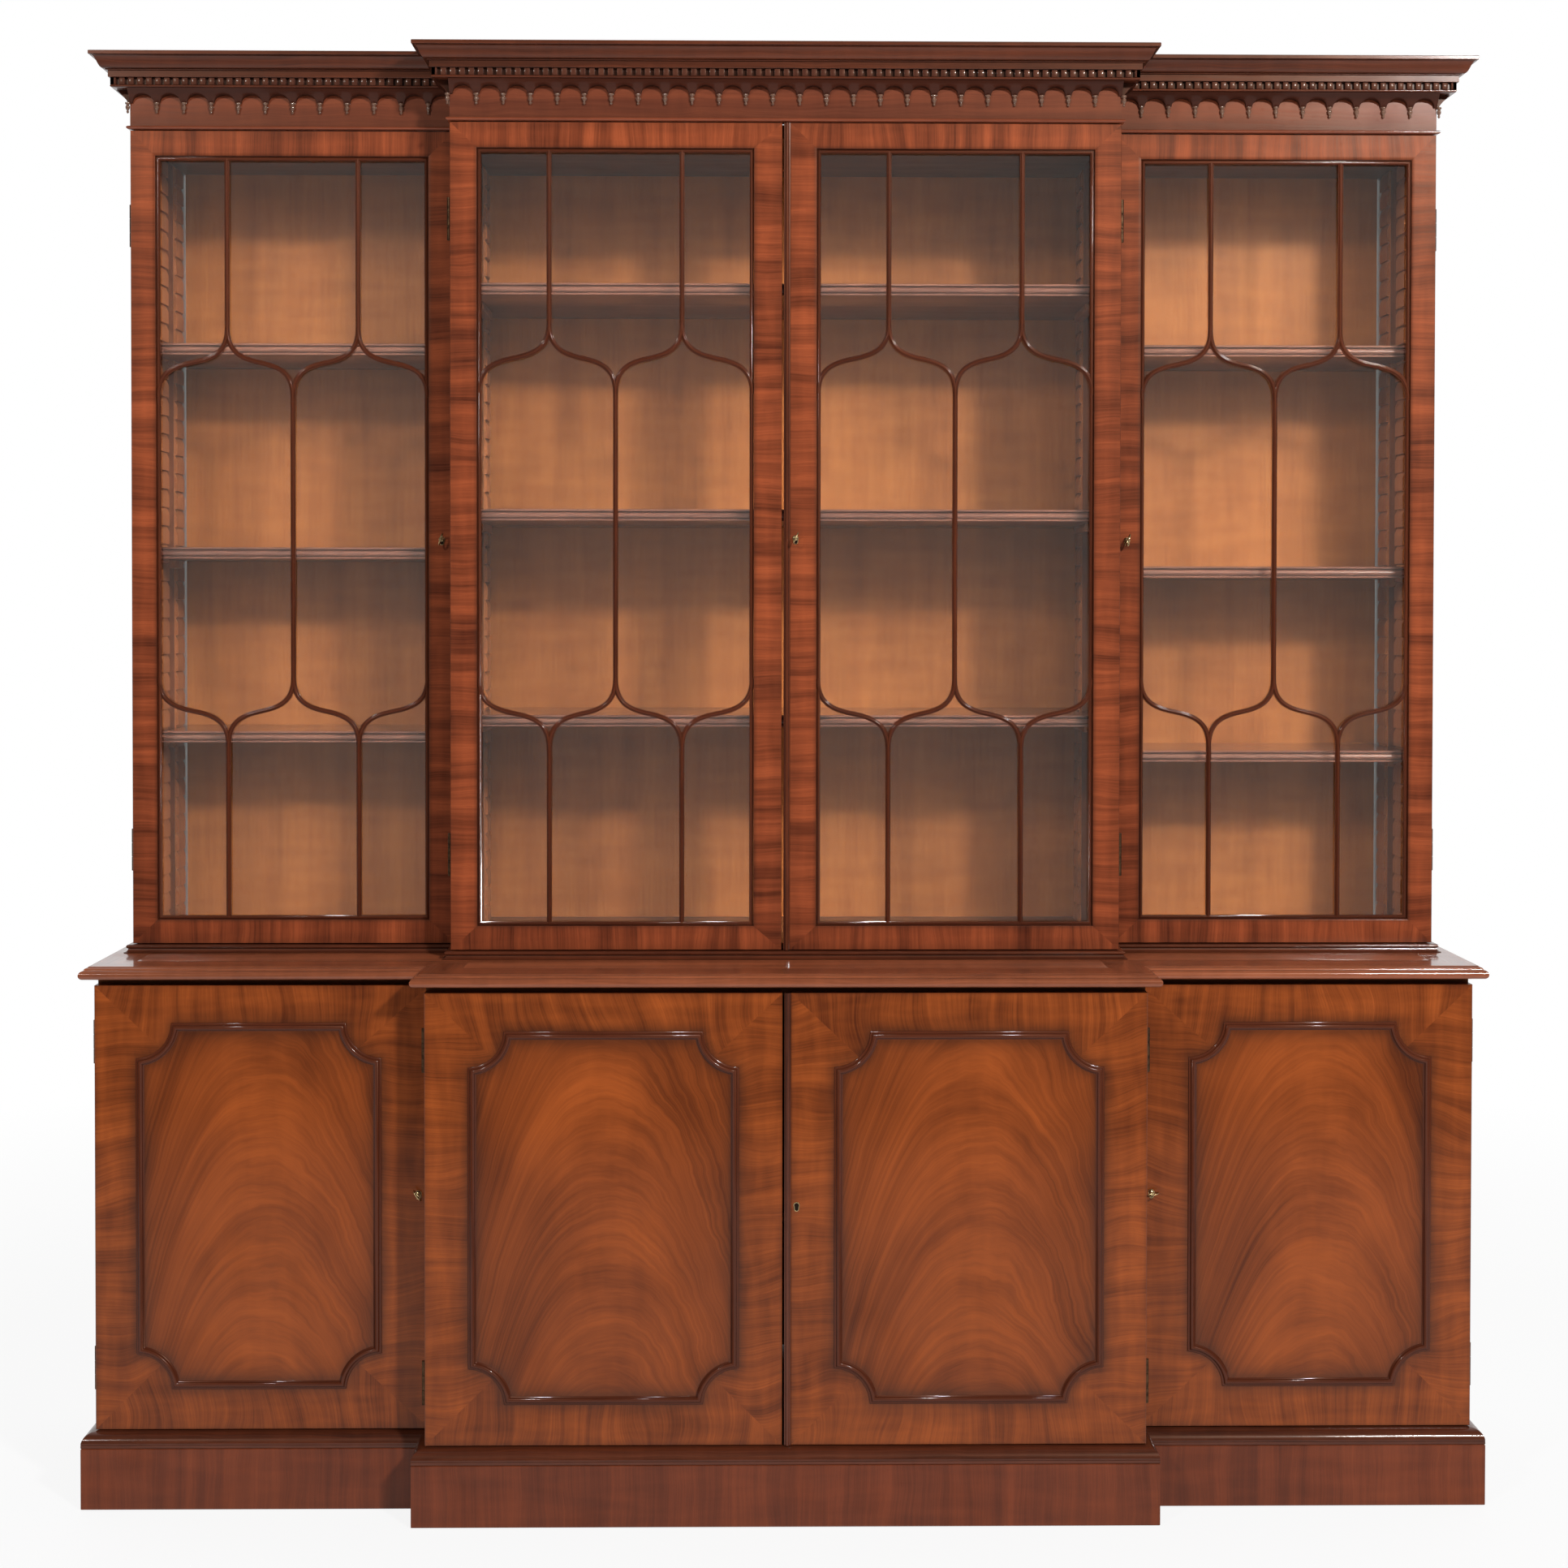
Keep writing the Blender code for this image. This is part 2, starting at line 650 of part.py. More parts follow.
def uprights():
    """Outer sides and partitions, with their shelf supports, case leaves and lock pockets."""
    for stage, case in STAGES.items():
        bays = bays_of(case)
        for side, sign in (("left", -1), ("right", 1)):
            outer = case["half"] * sign
            inner = case["centre"] * sign
            wing_edge = bays[side][2]
            add_upright(f"{stage}_{side}_side", stage, outer, sign, wing_edge, BACK_Y, case["side_foot"],
                        [(side, outer - sign * UPRIGHT_THICK, -sign)], [])
            add_upright(f"{stage}_{side}_partition", stage, inner, sign, bays["centre"][2],
                        BACK_PANEL_Y - GAP, case["floor"] + GAP,
                        [(side, inner, sign), ("centre", inner - sign * UPRIGHT_THICK, -sign)],
                        [lock_pocket(stage, sign)])


def add_upright(name, stage, face, sign, front, back, foot, walls, cuts):
    """One upright; face is the x of its outer side."""
    case = STAGES[stage]
    sides = sorted((face, face - sign * UPRIGHT_THICK))
    head = case["ceiling"] - GAP
    blank = box((sides[0], front, foot), (sides[1], back, head))
    leaves = []
    for door in DOORS:
        if door["stage"] == stage and door["hinge"] == face:
            axis = hinge_axis(door)
            leaves.extend(moved(CASE_LEAF, handed(door, (*axis, middle))) for middle in hinge_heights(door))
    item = add_worked_piece(name, blank, cuts, leaves, CASE_WOOD)
    supports = [shelf_supports(stage, bay, wall, way) for bay, wall, way in walls]
    for kind in supports[0]:
        pieces = [mesh for support in supports for mesh in support[kind]]
        combine(item, add_helper(f"{name}_{kind}", joined(pieces)), "UNION")
    shaded_smooth(item)


def shelf_supports(stage, bay, wall, way):
    """Battens and cleats on a wall, by kind; way is the direction in x from the wall into its bay."""
    edge = bays_of(STAGES[stage])[bay][2]
    root = wall - way * JOIN_SINK
    if stage == "lower":
        sides = sorted((root, wall + way * CLEAT_REACH))
        under = shelf_height(stage, LOWER_SHELF_SHARE) - SHELF_THICK - GAP
        front = edge + LOWER_SHELF_SETBACK + NOSING_DEEP
        cleat = box((sides[0], front, under - CLEAT_HIGH), (sides[1], BACK_PANEL_Y - BATTEN_INSET, under))
        return {"cleats": [cleat]}
    case = STAGES[stage]
    front = edge + UPPER_SHELF_SETBACK + BATTEN_INSET
    rear = BACK_PANEL_Y - BATTEN_INSET - BATTEN_WIDE
    sides = sorted((root, wall + way * BATTEN_THICK))
    foot = case["floor"] + BATTEN_END_GAP
    head = case["ceiling"] - BATTEN_END_GAP
    battens = [box((sides[0], near, foot), (sides[1], near + BATTEN_WIDE, head)) for near in (front, rear)]
    sides = sorted((root, wall + way * CLEAT_REACH))
    cleats = []
    for share in UPPER_SHELVES[bay].values():
        under = shelf_height(stage, share) - SHELF_THICK - GAP
        cleats.append(box((sides[0], front + BATTEN_WIDE + GAP, under - CLEAT_HIGH), (sides[1], rear - GAP, under)))
    return {"front_battens": battens[:1], "rear_battens": battens[1:], "cleats": cleats}


def lock_pocket(stage, sign):
    """The pocket in a partition's outer face that a wing door's bolt enters."""
    case = STAGES[stage]
    near = case["front"] + BREAK_STEP + DOOR_THICK + (LOCK_THICK - LOCK_BOLT_THICK) / 2
    reach = LOCK_BOLT_THROW - WING_EDGE_GAP - LOCK_EDGE + LOCK_POCKET_SPARE
    face = sign * case["centre"]
    sides = sorted((face + sign * OVERRUN, face - sign * reach))
    middle = case["lock"] + sign * LOCK_BOLT_RISE
    half = LOCK_BOLT_HIGH / 2 + LOCK_POCKET_CLEAR
    return box((sides[0], near - LOCK_POCKET_CLEAR, middle - half),
               (sides[1], near + LOCK_BOLT_THICK + LOCK_POCKET_CLEAR, middle + half))


def plinth():
    """The plinth frame in plan: an outline with four openings between its boards and bearers."""
    case = STAGES["lower"]
    outer = [tuple(corner + mitre * PLINTH_OUT) for corner, mitre in corners_of(case)]
    inset = PLINTH_THICK - PLINTH_OUT
    end = case["half"] - inset
    front = case["front"] + inset
    back = BACK_Y - BEARER_THICK
    near = case["centre"] - BEARER_THICK
    openings = [[(near + BEARER_THICK, front + BREAK_STEP), (end, front + BREAK_STEP), (end, back),
                 (near + BEARER_THICK, back)],
                [(BEARER_THICK / 2, front), (near, front), (near, back), (BEARER_THICK / 2, back)]]
    openings.extend([(-x, y) for x, y in opening] for opening in openings[:2])
    mesh = flat_mesh([outer, *openings], PLINTH_HEIGHT, Matrix())
    add_piece("plinth_frame", mesh, CASE_WOOD, (0, 0, PLINTH_HEIGHT / 2))


def waist():
    """The waist top with its moulded edge, and the upper stage's base moulding."""
    radius = WAIST_NOSE_RADIUS
    nose = arc((WAIST_OUT - radius, radius), (radius, radius), -math.pi / 2, math.pi / 2, ROUND_STEPS)
    fillet = WAIST_THICK - WAIST_FILLET
    levels = [*nose, (WAIST_STEP_OUT, fillet), (WAIST_FLAT_OUT, fillet), (WAIST_FLAT_OUT, WAIST_THICK)]
    add_piece("waist_top", slab(STAGES["lower"], levels), MOULDING_WOOD, (0, 0, WAIST_BOTTOM))

    inner = -min(UPRIGHT_THICK, CASE_INSET)
    rise = BASE_MOULDING_HIGH / 2
    hollow = arc((BASE_MOULDING_OUT, rise), (BASE_MOULDING_OUT - BASE_MOULDING_NECK_OUT, rise),
                 1.5 * math.pi, math.pi, ROUND_STEPS)
    bead = arc((BASE_MOULDING_NECK_OUT, rise * 1.5), (rise / 2, rise / 2), -math.pi / 2, math.pi / 2, ROUND_STEPS)
    mesh = swept(STAGES["upper"], [(inner, 0), *hollow, *bead[1:], (inner, BASE_MOULDING_HIGH)])
    add_piece("upper_base_moulding", mesh, MOULDING_WOOD, (0, 0, UPPER_BASE))


def frieze():
    """Frieze board with a necking bead and a cove that is cut into arches, with a drop at each spandrel."""
    case = STAGES["upper"]
    bead = arc((0, NECK_HIGH / 2), (NECK_OUT, NECK_HIGH / 2), -math.pi / 2, math.pi / 2, ROUND_STEPS)
    rise = COVE_TOP - SPANDREL_FOOT
    reach = COVE_OUT - COVE_FOOT_OUT
    bend_shares = ((0.09, 0.18), (0.43, 0.55))
    cove = [(COVE_FOOT_OUT + reach * out, SPANDREL_FOOT + rise * up) for out, up in bend_shares]
    profile = [(-FRIEZE_THICK, 0), *bead, (0, SPANDREL_FOOT), (COVE_FOOT_OUT, SPANDREL_FOOT), *cove,
               (COVE_OUT, COVE_TOP), (0, COVE_TOP), (0, FRIEZE_HIGH), (-FRIEZE_THICK, FRIEZE_HIGH)]
    blank = swept(case, profile)
    arches = {"side": [], "front": []}
    drops = [corner + mitre * DROP_SEAT for corner, mitre in corners_of(case)[1:-1]]
    for start, end, along, out in runs_of(case):
        length = (end - start).length
        count = round(length / ARCH_PITCH)
        pitch = length / count
        way = "side" if abs(out.x) > abs(out.y) else "front"
        for i in range(count):
            middle = start + along * pitch * (i + 0.5)
            arches[way].append(arch_prism(middle, along, out, pitch / 2 - SPANDREL_HALF))
        drops.extend(start + along * pitch * i + out * DROP_SEAT for i in range(1, count))
    place = (0, 0, NECK_Z)
    item = add_piece("frieze_board", blank, MOULDING_WOOD, place)
    for way, prisms in arches.items():
        combine(item, add_helper(f"frieze_{way}_arches", joined(prisms), place), "DIFFERENCE")
    combine(item, add_helper("frieze_drops", joined([drop_at(spot) for spot in drops]), place), "UNION")


def arch_prism(middle, along, out, half):
    """A round-headed prism that cuts one arch through the cove."""
    head = arc((0, SPANDREL_FOOT), (half, ARCH_CROWN - SPANDREL_FOOT), 0, math.pi, ROUND_STEPS)
    outline = [(half, SPANDREL_FOOT - OVERRUN), *head, (-half, SPANDREL_FOOT - OVERRUN)]
    return loft([[(*(middle + along * offset + out * distance), height) for offset, height in outline]
                 for distance in (ARCH_WEB, COVE_OUT + OVERRUN)])


def drop_at(spot):
    """A small tapered drop that hangs from the foot of a spandrel."""
    length = SPANDREL_FOOT + JOIN_SINK - DROP_TIP
    bm = bmesh.new()
    matrix = Matrix.Translation((*spot, DROP_TIP + length / 2))
    bmesh.ops.create_cone(bm, cap_ends=True, segments=DROP_SIDES, radius1=DROP_TIP_RADIUS, radius2=DROP_RADIUS,
                          depth=length, matrix=matrix)
    return mesh_of(bm)


def cornice():
    """Dentil band, corona, small bead, cyma and top fillet in one moulding; the dentils are sawn in it."""
    case = STAGES["upper"]
    bead_top = CORONA_TOP + CORONA_BEAD_HIGH
    fillet_top = DENTIL_FOOT + DENTIL_FILLET_HIGH
    cyma_shares = ((0.14, 0.19), (0.41, 0.45), (0.72, 0.68), (0.95, 0.91))
    reach = CYMA_TOP_OUT - CYMA_FOOT_OUT
    cyma = [(CYMA_FOOT_OUT + reach * out, bead_top + (CYMA_TOP - bead_top) * up) for out, up in cyma_shares]
    profile = [(GAP, DENTIL_FOOT), (DENTIL_FILLET_OUT, DENTIL_FOOT), (DENTIL_FILLET_OUT, fillet_top),
               (DENTIL_FACE_OUT, fillet_top), (DENTIL_FACE_OUT, DENTIL_TOP), (CORONA_OUT, DENTIL_TOP),
               (CORONA_OUT, CORONA_TOP), (CORONA_BEAD_OUT, CORONA_TOP), (CORONA_BEAD_OUT, bead_top),
               (CYMA_FOOT_OUT, bead_top), *cyma, (CYMA_TOP_OUT, CYMA_TOP), (CORNICE_OUT, CYMA_TOP),
               (CORNICE_OUT, CORNICE_STAGE_HIGH), (GAP, CORNICE_STAGE_HIGH)]
    gaps = []
    ends = corners_of(case)
    for (start, end, along, out), (_, first), (_, last) in zip(runs_of(case), ends, ends[1:]):
        low = first.dot(along) * DENTIL_FACE_OUT
        span = (end - start).length + last.dot(along) * DENTIL_FACE_OUT - low
        count = round((span - DENTIL_FACE) / DENTIL_PITCH)
        pitch = (span - DENTIL_FACE) / count
        for i in range(count):
            near = start + along * (low + pitch * i + DENTIL_FACE) + out * (DENTIL_FACE_OUT - DENTIL_DEEP)
            far = start + along * (low + pitch * (i + 1)) + out * (DENTIL_FACE_OUT + OVERRUN)
            xs = sorted((near.x, far.x))
            ys = sorted((near.y, far.y))
            gaps.append(box((xs[0], ys[0], fillet_top + GAP), (xs[1], ys[1], DENTIL_TOP - GAP)))
    add_worked_piece("cornice_moulding", swept(case, profile), gaps, [], MOULDING_WOOD, (0, 0, NECK_Z))


def add_shelf(name, left, right, front, top, look):
    """A shelf with a small moulded nosing; its origin is at the middle of its front edge."""
    nosing_shares = ((1.00, 1.00), (1.00, 0.83), (0.25, 0.72), (0.00, 0.48), (0.25, 0.22), (0.80, 0.12),
                     (0.80, 0.00))
    low = -SHELF_THICK
    nose = [(NOSING_DEEP * back, low + SHELF_THICK * up) for back, up in nosing_shares]
    back = BACK_PANEL_Y - GAP - front
    half = (right - left) / 2
    mesh = loft([[(x, y, z) for y, z in [(back, 0), *nose, (back, low)]] for x in (-half, half)])
    add_piece(name, mesh, look, ((left + right) / 2, front, top))


def shelves():
    """Nine upper shelves between the battens and three lower ones between the uprights."""
    for bay, (left, right, edge) in bays_of(STAGES["upper"]).items():
        clear = BATTEN_THICK + GAP
        for level, share in UPPER_SHELVES[bay].items():
            add_shelf(f"upper_{bay}_{level}_shelf", left + clear, right - clear,
                      edge + UPPER_SHELF_SETBACK, shelf_height("upper", share), MOULDING_WOOD)
    for bay, (left, right, edge) in bays_of(STAGES["lower"]).items():
        add_shelf(f"lower_{bay}_shelf", left + GAP, right - GAP, edge + LOWER_SHELF_SETBACK,
                  shelf_height("lower", LOWER_SHELF_SHARE), INSIDE_WOOD)


def keyhole_prism(spot, near, far):
    """A slot with round ends, its upper end centred on the key."""
    half = KEYHOLE_HALF
    outline = [*arc((0, 0), (half, half), 0, math.pi, ROUND_STEPS),
               *arc((0, -KEYHOLE_DROP), (half, half), math.pi, 2 * math.pi, ROUND_STEPS)]
    return loft([[(spot.x + x, y, spot.z + z) for x, z in outline] for y in (near, far)])


def opening_of(door):
    """Left, right, bottom and top of an upper door's opening."""
    sign = door["sign"]
    hinge_stile, lock_stile = door["stiles"]
    case = STAGES[door["stage"]]
    sides = sorted((door["hinge"] - sign * hinge_stile, door["free"] + sign * (door["bead"] + lock_stile)))
    return sides[0], sides[1], case["door_low"] + BOTTOM_RAIL, case["door_high"] - TOP_RAIL


def opening_prism(door):
    """Cuts an upper door's opening, and leaves the bead behind the glass."""
    left, right, low, high = opening_of(door)
    lip = door["face"] + BAR_SINK + BAR_THICK + GAP + GLASS_THICK + GAP
    sections = []
    for inset, y in ((0, door["face"] - OVERRUN), (0, lip), (GLAZING_LIP, lip),
                     (GLAZING_LIP, door["face"] + DOOR_THICK + OVERRUN)):
        sections.append([(left + inset, y, low + inset), (right - inset, y, low + inset),
                         (right - inset, y, high - inset), (left + inset, y, high - inset)])
    return loft(sections)


def add_door_board(door, carrier):
    """The board or frame of a door with its hinge leaves, and its lock or slide bolt plate."""
    sign = door["sign"]
    case = STAGES[door["stage"]]
    face = door["face"]
    back = face + DOOR_THICK
    low = case["door_low"]
    high = case["door_high"]
    upper = door["stage"] == "upper"
    sides = sorted((door["free"], door["hinge"]))
    blank = box((sides[0], face, low), (sides[1], back, high))
    cuts = [opening_prism(door)] if upper else []
    joins = [] if upper else [panel_moulding(door)]
    recess = sorted((door["hinge"] + sign * OVERRUN, door["hinge"] - sign * (LEAF_WIDE + KNUCKLE_RADIUS)))
    floor = face + HINGE_AXIS_BACK - GAP / 2 - LEAF_THICK + JOIN_SINK
    axis = hinge_axis(door)
    for middle in hinge_heights(door):
        half = HINGE_HIGH / 2 + GAP
        cuts.append(box((recess[0], floor, middle - half), (recess[1], back + OVERRUN, middle + half)))
        joins.append(moved(DOOR_LEAF, handed(door, (*axis, middle))))
    if door["bead"]:
        joins.append(box((door["free"], face - MEETING_BEAD_OUT, low),
                         (door["free"] + door["bead"], face + JOIN_SINK, high)))
    if door["backset"]:
        spot = lock_place(door)
        cuts.append(keyhole_prism(spot, face - OVERRUN, back + OVERRUN))
        joins.append(moved(lock_case(door["backset"]), handed(door, (spot.x, back, spot.z))))
    else:
        middle = door["free"] - SLIDE_BACKSET
        top = case["ceiling"] - 2 * SLIDE_REST
        joins.append(box((middle - SLIDE_PLATE_WIDE / 2, back - JOIN_SINK, top - SLIDE_PLATE_LONG),
                         (middle + SLIDE_PLATE_WIDE / 2, back + SLIDE_PLATE_THICK, top)))
    name = door["name"] + ("_frame" if upper else "")
    item = add_worked_piece(name, blank, cuts, joins, CASE_WOOD if upper else FLAME_WOOD, carrier=carrier)
    shaded_smooth(item)


def lock_case(backset):
    """A lock for a right-hand door, its key bore at the origin, standing on the door's back at y = 0."""
    left = LOCK_EDGE - backset
    half = LOCK_BOLT_HIGH / 2 + RUNNING_GAP
    near = (LOCK_THICK - LOCK_BOLT_THICK) / 2
    case = box((left, -JOIN_SINK, -LOCK_HIGH / 2), (left + LOCK_WIDE, LOCK_THICK, LOCK_HIGH / 2))
    channel = box((left - OVERRUN, near - RUNNING_GAP, LOCK_BOLT_RISE - half),
                  (left + LOCK_BOLT_LONG + 2 * RUNNING_GAP, near + LOCK_BOLT_THICK + RUNNING_GAP,
                   LOCK_BOLT_RISE + half))
    bore = bmesh.new()
    matrix = Matrix.Translation((0, LOCK_THICK / 2, 0)) @ Matrix.Rotation(math.pi / 2, 4, "X")
    bmesh.ops.create_cone(bore, cap_ends=True, segments=10, radius1=KEY_BORE, radius2=KEY_BORE,
                          depth=LOCK_THICK + 2 * OVERRUN, matrix=matrix)
    return baked(case, [channel, mesh_of(bore)], "DIFFERENCE")


def notched_outline(low, high, inset):
    """A rectangle whose corners are concave quadrants struck from the outer corners."""
    reach = NOTCH_RADIUS + inset
    swing = math.asin(inset / reach)
    corners = ((low, 0), ((high[0], low[1]), 1), (high, 2), ((low[0], high[1]), 3))
    points = []
    for corner, quarter in corners:
        turn = quarter * math.pi / 2
        points.extend(arc(corner, (reach, reach), turn + math.pi / 2 - swing, turn + swing, NOTCH_STEPS))
    return points


def panel_moulding(door):
    """The applied moulding on a lower door."""
    hinge_margin, lock_margin = door["margins"]
    sign = door["sign"]
    case = STAGES[door["stage"]]
    free = door["free"] + sign * (door["bead"] + lock_margin)
    xs = sorted((door["hinge"] - sign * hinge_margin, free))
    low = (xs[0], case["door_low"] + PANEL_MARGIN_BOTTOM)
    high = (xs[1], case["door_high"] - PANEL_MARGIN_TOP)
    outlines = [notched_outline(low, high, inset) for inset in (0, PANEL_MOULDING_WIDE)]
    return standing(outlines, PANEL_MOULDING_HIGH + JOIN_SINK,
                    door["face"] + (JOIN_SINK - PANEL_MOULDING_HIGH) / 2)


def half_sweep(wide, high):
    """Half an ogee: it starts straight down and turns outward, as a cubic in shares of its box."""
    turn_out, turn_down = OGEE_TURN_SHARES
    points = []
    for i in range(OGEE_STEPS + 1):
        t = i / OGEE_STEPS
        x = wide * (3 * t * t * (1 - t) * turn_out + t ** 3)
        y = high * (3 * t * (1 - t) ** 2 * OGEE_PULL_SHARE + 3 * t * t * (1 - t) * turn_down + t ** 3)
        points.append((x, -y))
    return points


def ogee(start, end_x, drop, offset):
    """An ogee from a start point down to end_x, offset to its left as it is walked; drop may be negative."""
    wide = end_x - start[0]
    first = half_sweep(wide / 2, drop / 2)
    line = [*first, *[(wide - x, -drop - y) for x, y in reversed(first[:-1])]]
    result = []
    for i, (x, y) in enumerate(line):
        before = line[max(i - 1, 0)]
        after = line[min(i + 1, len(line) - 1)]
        slope = Vector((after[0] - before[0], after[1] - before[1])).normalized()
        if i in (0, len(line) - 1):
            slope = Vector((0, -math.copysign(1, drop)))
        result.append((start[0] + x - slope.y * offset, start[1] + y + slope.x * offset))
    return result


def until(points, limit):
    """The points of a line up to where it crosses x = limit, which is added."""
    from_left = points[0][0] < limit
    kept = []
    for here, following in zip(points, points[1:]):
        kept.append(here)
        if (following[0] >= limit) == from_left:
            share = (limit - here[0]) / (following[0] - here[0])
            return [*kept, (limit, here[1] + (following[1] - here[1]) * share)]
    return [*kept, points[-1]]


def light_outlines(door):
    """The eight lights between a door's glazing bars."""
    left, right, low, high = opening_of(door)
    wide = right - left
    rim = BORDER_WIDE - BAR_HALF
    lines = [left + rim, left + wide * SIDE_LIGHT_SHARE, (left + right) / 2,
             right - wide * SIDE_LIGHT_SHARE, right - rim]
    inner_left = left + BORDER_WIDE
    inner_right = right - BORDER_WIDE
    sweeps = ((high - BORDER_WIDE, high - BORDER_WIDE - UPPER_OGEE_DROP + OGEE_HIGH / 2, 1),
              (low + BORDER_WIDE, low + BORDER_WIDE + LOWER_OGEE_RISE - OGEE_HIGH / 2, -1))
    outlines = []
    middles = {1: [], 3: []}
    for limit, start_y, way in sweeps:
        drop = OGEE_HIGH * way
        side = BAR_HALF * way
        outer_left = until(ogee((lines[1], start_y), lines[0], drop, -side), inner_left)
        outer_right = until(ogee((lines[3], start_y), lines[4], drop, side), inner_right)
        inner_from_left = until(ogee((lines[1], start_y), lines[2], drop, side), lines[2])
        inner_from_right = until(ogee((lines[3], start_y), lines[2], drop, -side), lines[2])
        outlines.append([(inner_left, limit), (lines[1] - BAR_HALF, limit), *outer_left])
        outlines.append([(inner_right, limit), (lines[3] + BAR_HALF, limit), *outer_right])
        outlines.append([(lines[1] + BAR_HALF, limit), (lines[3] - BAR_HALF, limit), *inner_from_right,
                         *reversed(inner_from_left[:-1])])
        for middle in middles:
            to_left = ogee((lines[middle], start_y), lines[middle - 1], drop, side)
            to_right = ogee((lines[middle], start_y), lines[middle + 1], drop, -side)
            arch = [*reversed(beyond(to_left, lines[middle])), *beyond(to_right, lines[middle])[1:]]
            middles[middle].extend(arch if way > 0 else reversed(arch))
    outlines.extend(middles.values())
    return outlines


def beyond(points, limit):
    """The points of a line from where it crosses x = limit, which comes first."""
    rest = until(list(reversed(points)), limit)
    return list(reversed(rest))


def add_glazing(door, carrier):
    """The bars and border as one lattice, and the sheet of glass behind it."""
    left, right, low, high = opening_of(door)
    rim = [(left + GAP, low + GAP), (right - GAP, low + GAP), (right - GAP, high - GAP),
           (left + GAP, high - GAP)]
    front = door["face"] + BAR_SINK
    bars = standing([rim, *light_outlines(door)], BAR_THICK, front + BAR_THICK / 2)
    add_piece(door["name"] + "_glazing_bars", bars, MOULDING_WOOD, carrier=carrier)
    near = front + BAR_THICK + GAP
    glass = box((left + GAP, near, low + GAP), (right - GAP, near + GLASS_THICK, high - GAP))
    add_piece(door["name"] + "_glass", glass, GLASS, carrier=carrier)


def add_slide_bolt(door, carrier):
    """A flat bolt with a knob; its origin is at the middle of its tip."""
    case = STAGES[door["stage"]]
    near = door["face"] + DOOR_THICK + SLIDE_PLATE_THICK + GAP
    far = SLIDE_BOLT_THICK
    knob = far + SLIDE_KNOB_OUT
    knob_foot = -SLIDE_KNOB_DROP - SLIDE_KNOB_LONG
    outline = [(0, 0), (0, -SLIDE_BOLT_LONG), (far, -SLIDE_BOLT_LONG), (far, knob_foot), (knob, knob_foot),
               (knob, -SLIDE_KNOB_DROP), (far, -SLIDE_KNOB_DROP), (far, 0)]
    half = SLIDE_BOLT_WIDE / 2
    mesh = loft([[(x, y, z) for y, z in outline] for x in (-half, half)])
    place = (door["free"] - SLIDE_BACKSET, near, case["ceiling"] - SLIDE_REST)
    add_piece(door["name"] + "_slide_bolt", mesh, BRASS, place, carrier)


def add_lock_bolt(door, carrier):
    """The bolt of a lock, drawn back inside its case; its origin is at its tip."""
    sign = door["sign"]
    spot = lock_place(door)
    sides = sorted((0, sign * LOCK_BOLT_LONG))
    half = LOCK_BOLT_HIGH / 2
    mesh = box((sides[0], 0, -half), (sides[1], LOCK_BOLT_THICK, half))
    place = (door["free"] + sign * (LOCK_EDGE + GAP),
             door["face"] + DOOR_THICK + (LOCK_THICK - LOCK_BOLT_THICK) / 2, spot.z + sign * LOCK_BOLT_RISE)
    add_piece(door["name"] + "_lock_bolt", mesh, STEEL, place, carrier)


def add_key(door, carrier):
    """A flat key with an oval bow, its origin on its own axis at the door's face."""
    middle = -KEY_STANDOFF - BOW_LONG / 2
    opening = math.asin(SHANK_HALF / (BOW_HIGH / 2))
    bow = arc((middle, 0), (BOW_LONG / 2, BOW_HIGH / 2), opening, 2 * math.pi - opening, BOW_STEPS)
    hole = arc((middle, 0), (BOW_LONG / 2 - BOW_WALL, BOW_HIGH / 2 - BOW_WALL), 0, 2 * math.pi, BOW_STEPS)
    tip = DOOR_THICK + LOCK_THICK - KEY_TIP_CLEAR
    bit = tip - BIT_LONG
    shank = [(bit, -SHANK_HALF), (bit, -BIT_REACH), (tip, -BIT_REACH), (tip, SHANK_HALF)]
    mesh = flat_mesh([[*bow, *shank], hole[:-1]], KEY_THICK,
                     Matrix.Rotation(math.pi / 2, 4, "Z") @ Matrix.Rotation(math.pi / 2, 4, "X"))
    add_piece(door["name"] + "_key", mesh, BRASS, lock_place(door), carrier)


def doors():
    """Eight doors, each on an empty at its hinge axis; the lower right centre lock has no key in it."""
    for door in DOORS:
        carrier = bpy.data.objects.new(door["name"] + "_hinge_axis", None)
        model.objects.link(carrier)
        carrier.location = (*hinge_axis(door), STAGES[door["stage"]]["door_low"])
        add_door_board(door, carrier)
        if door["stage"] == "upper":
            add_glazing(door, carrier)
        if door["backset"]:
            add_lock_bolt(door, carrier)
        else:
            add_slide_bolt(door, carrier)
        if door["backset"] and door["name"] != "lower_right_centre_door":
            add_key(door, carrier)


plinth()
carcase()
uprights()
waist()
frieze()
cornice()
shelves()
doors()
bpy.context.view_layer.update()
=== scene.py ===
import math

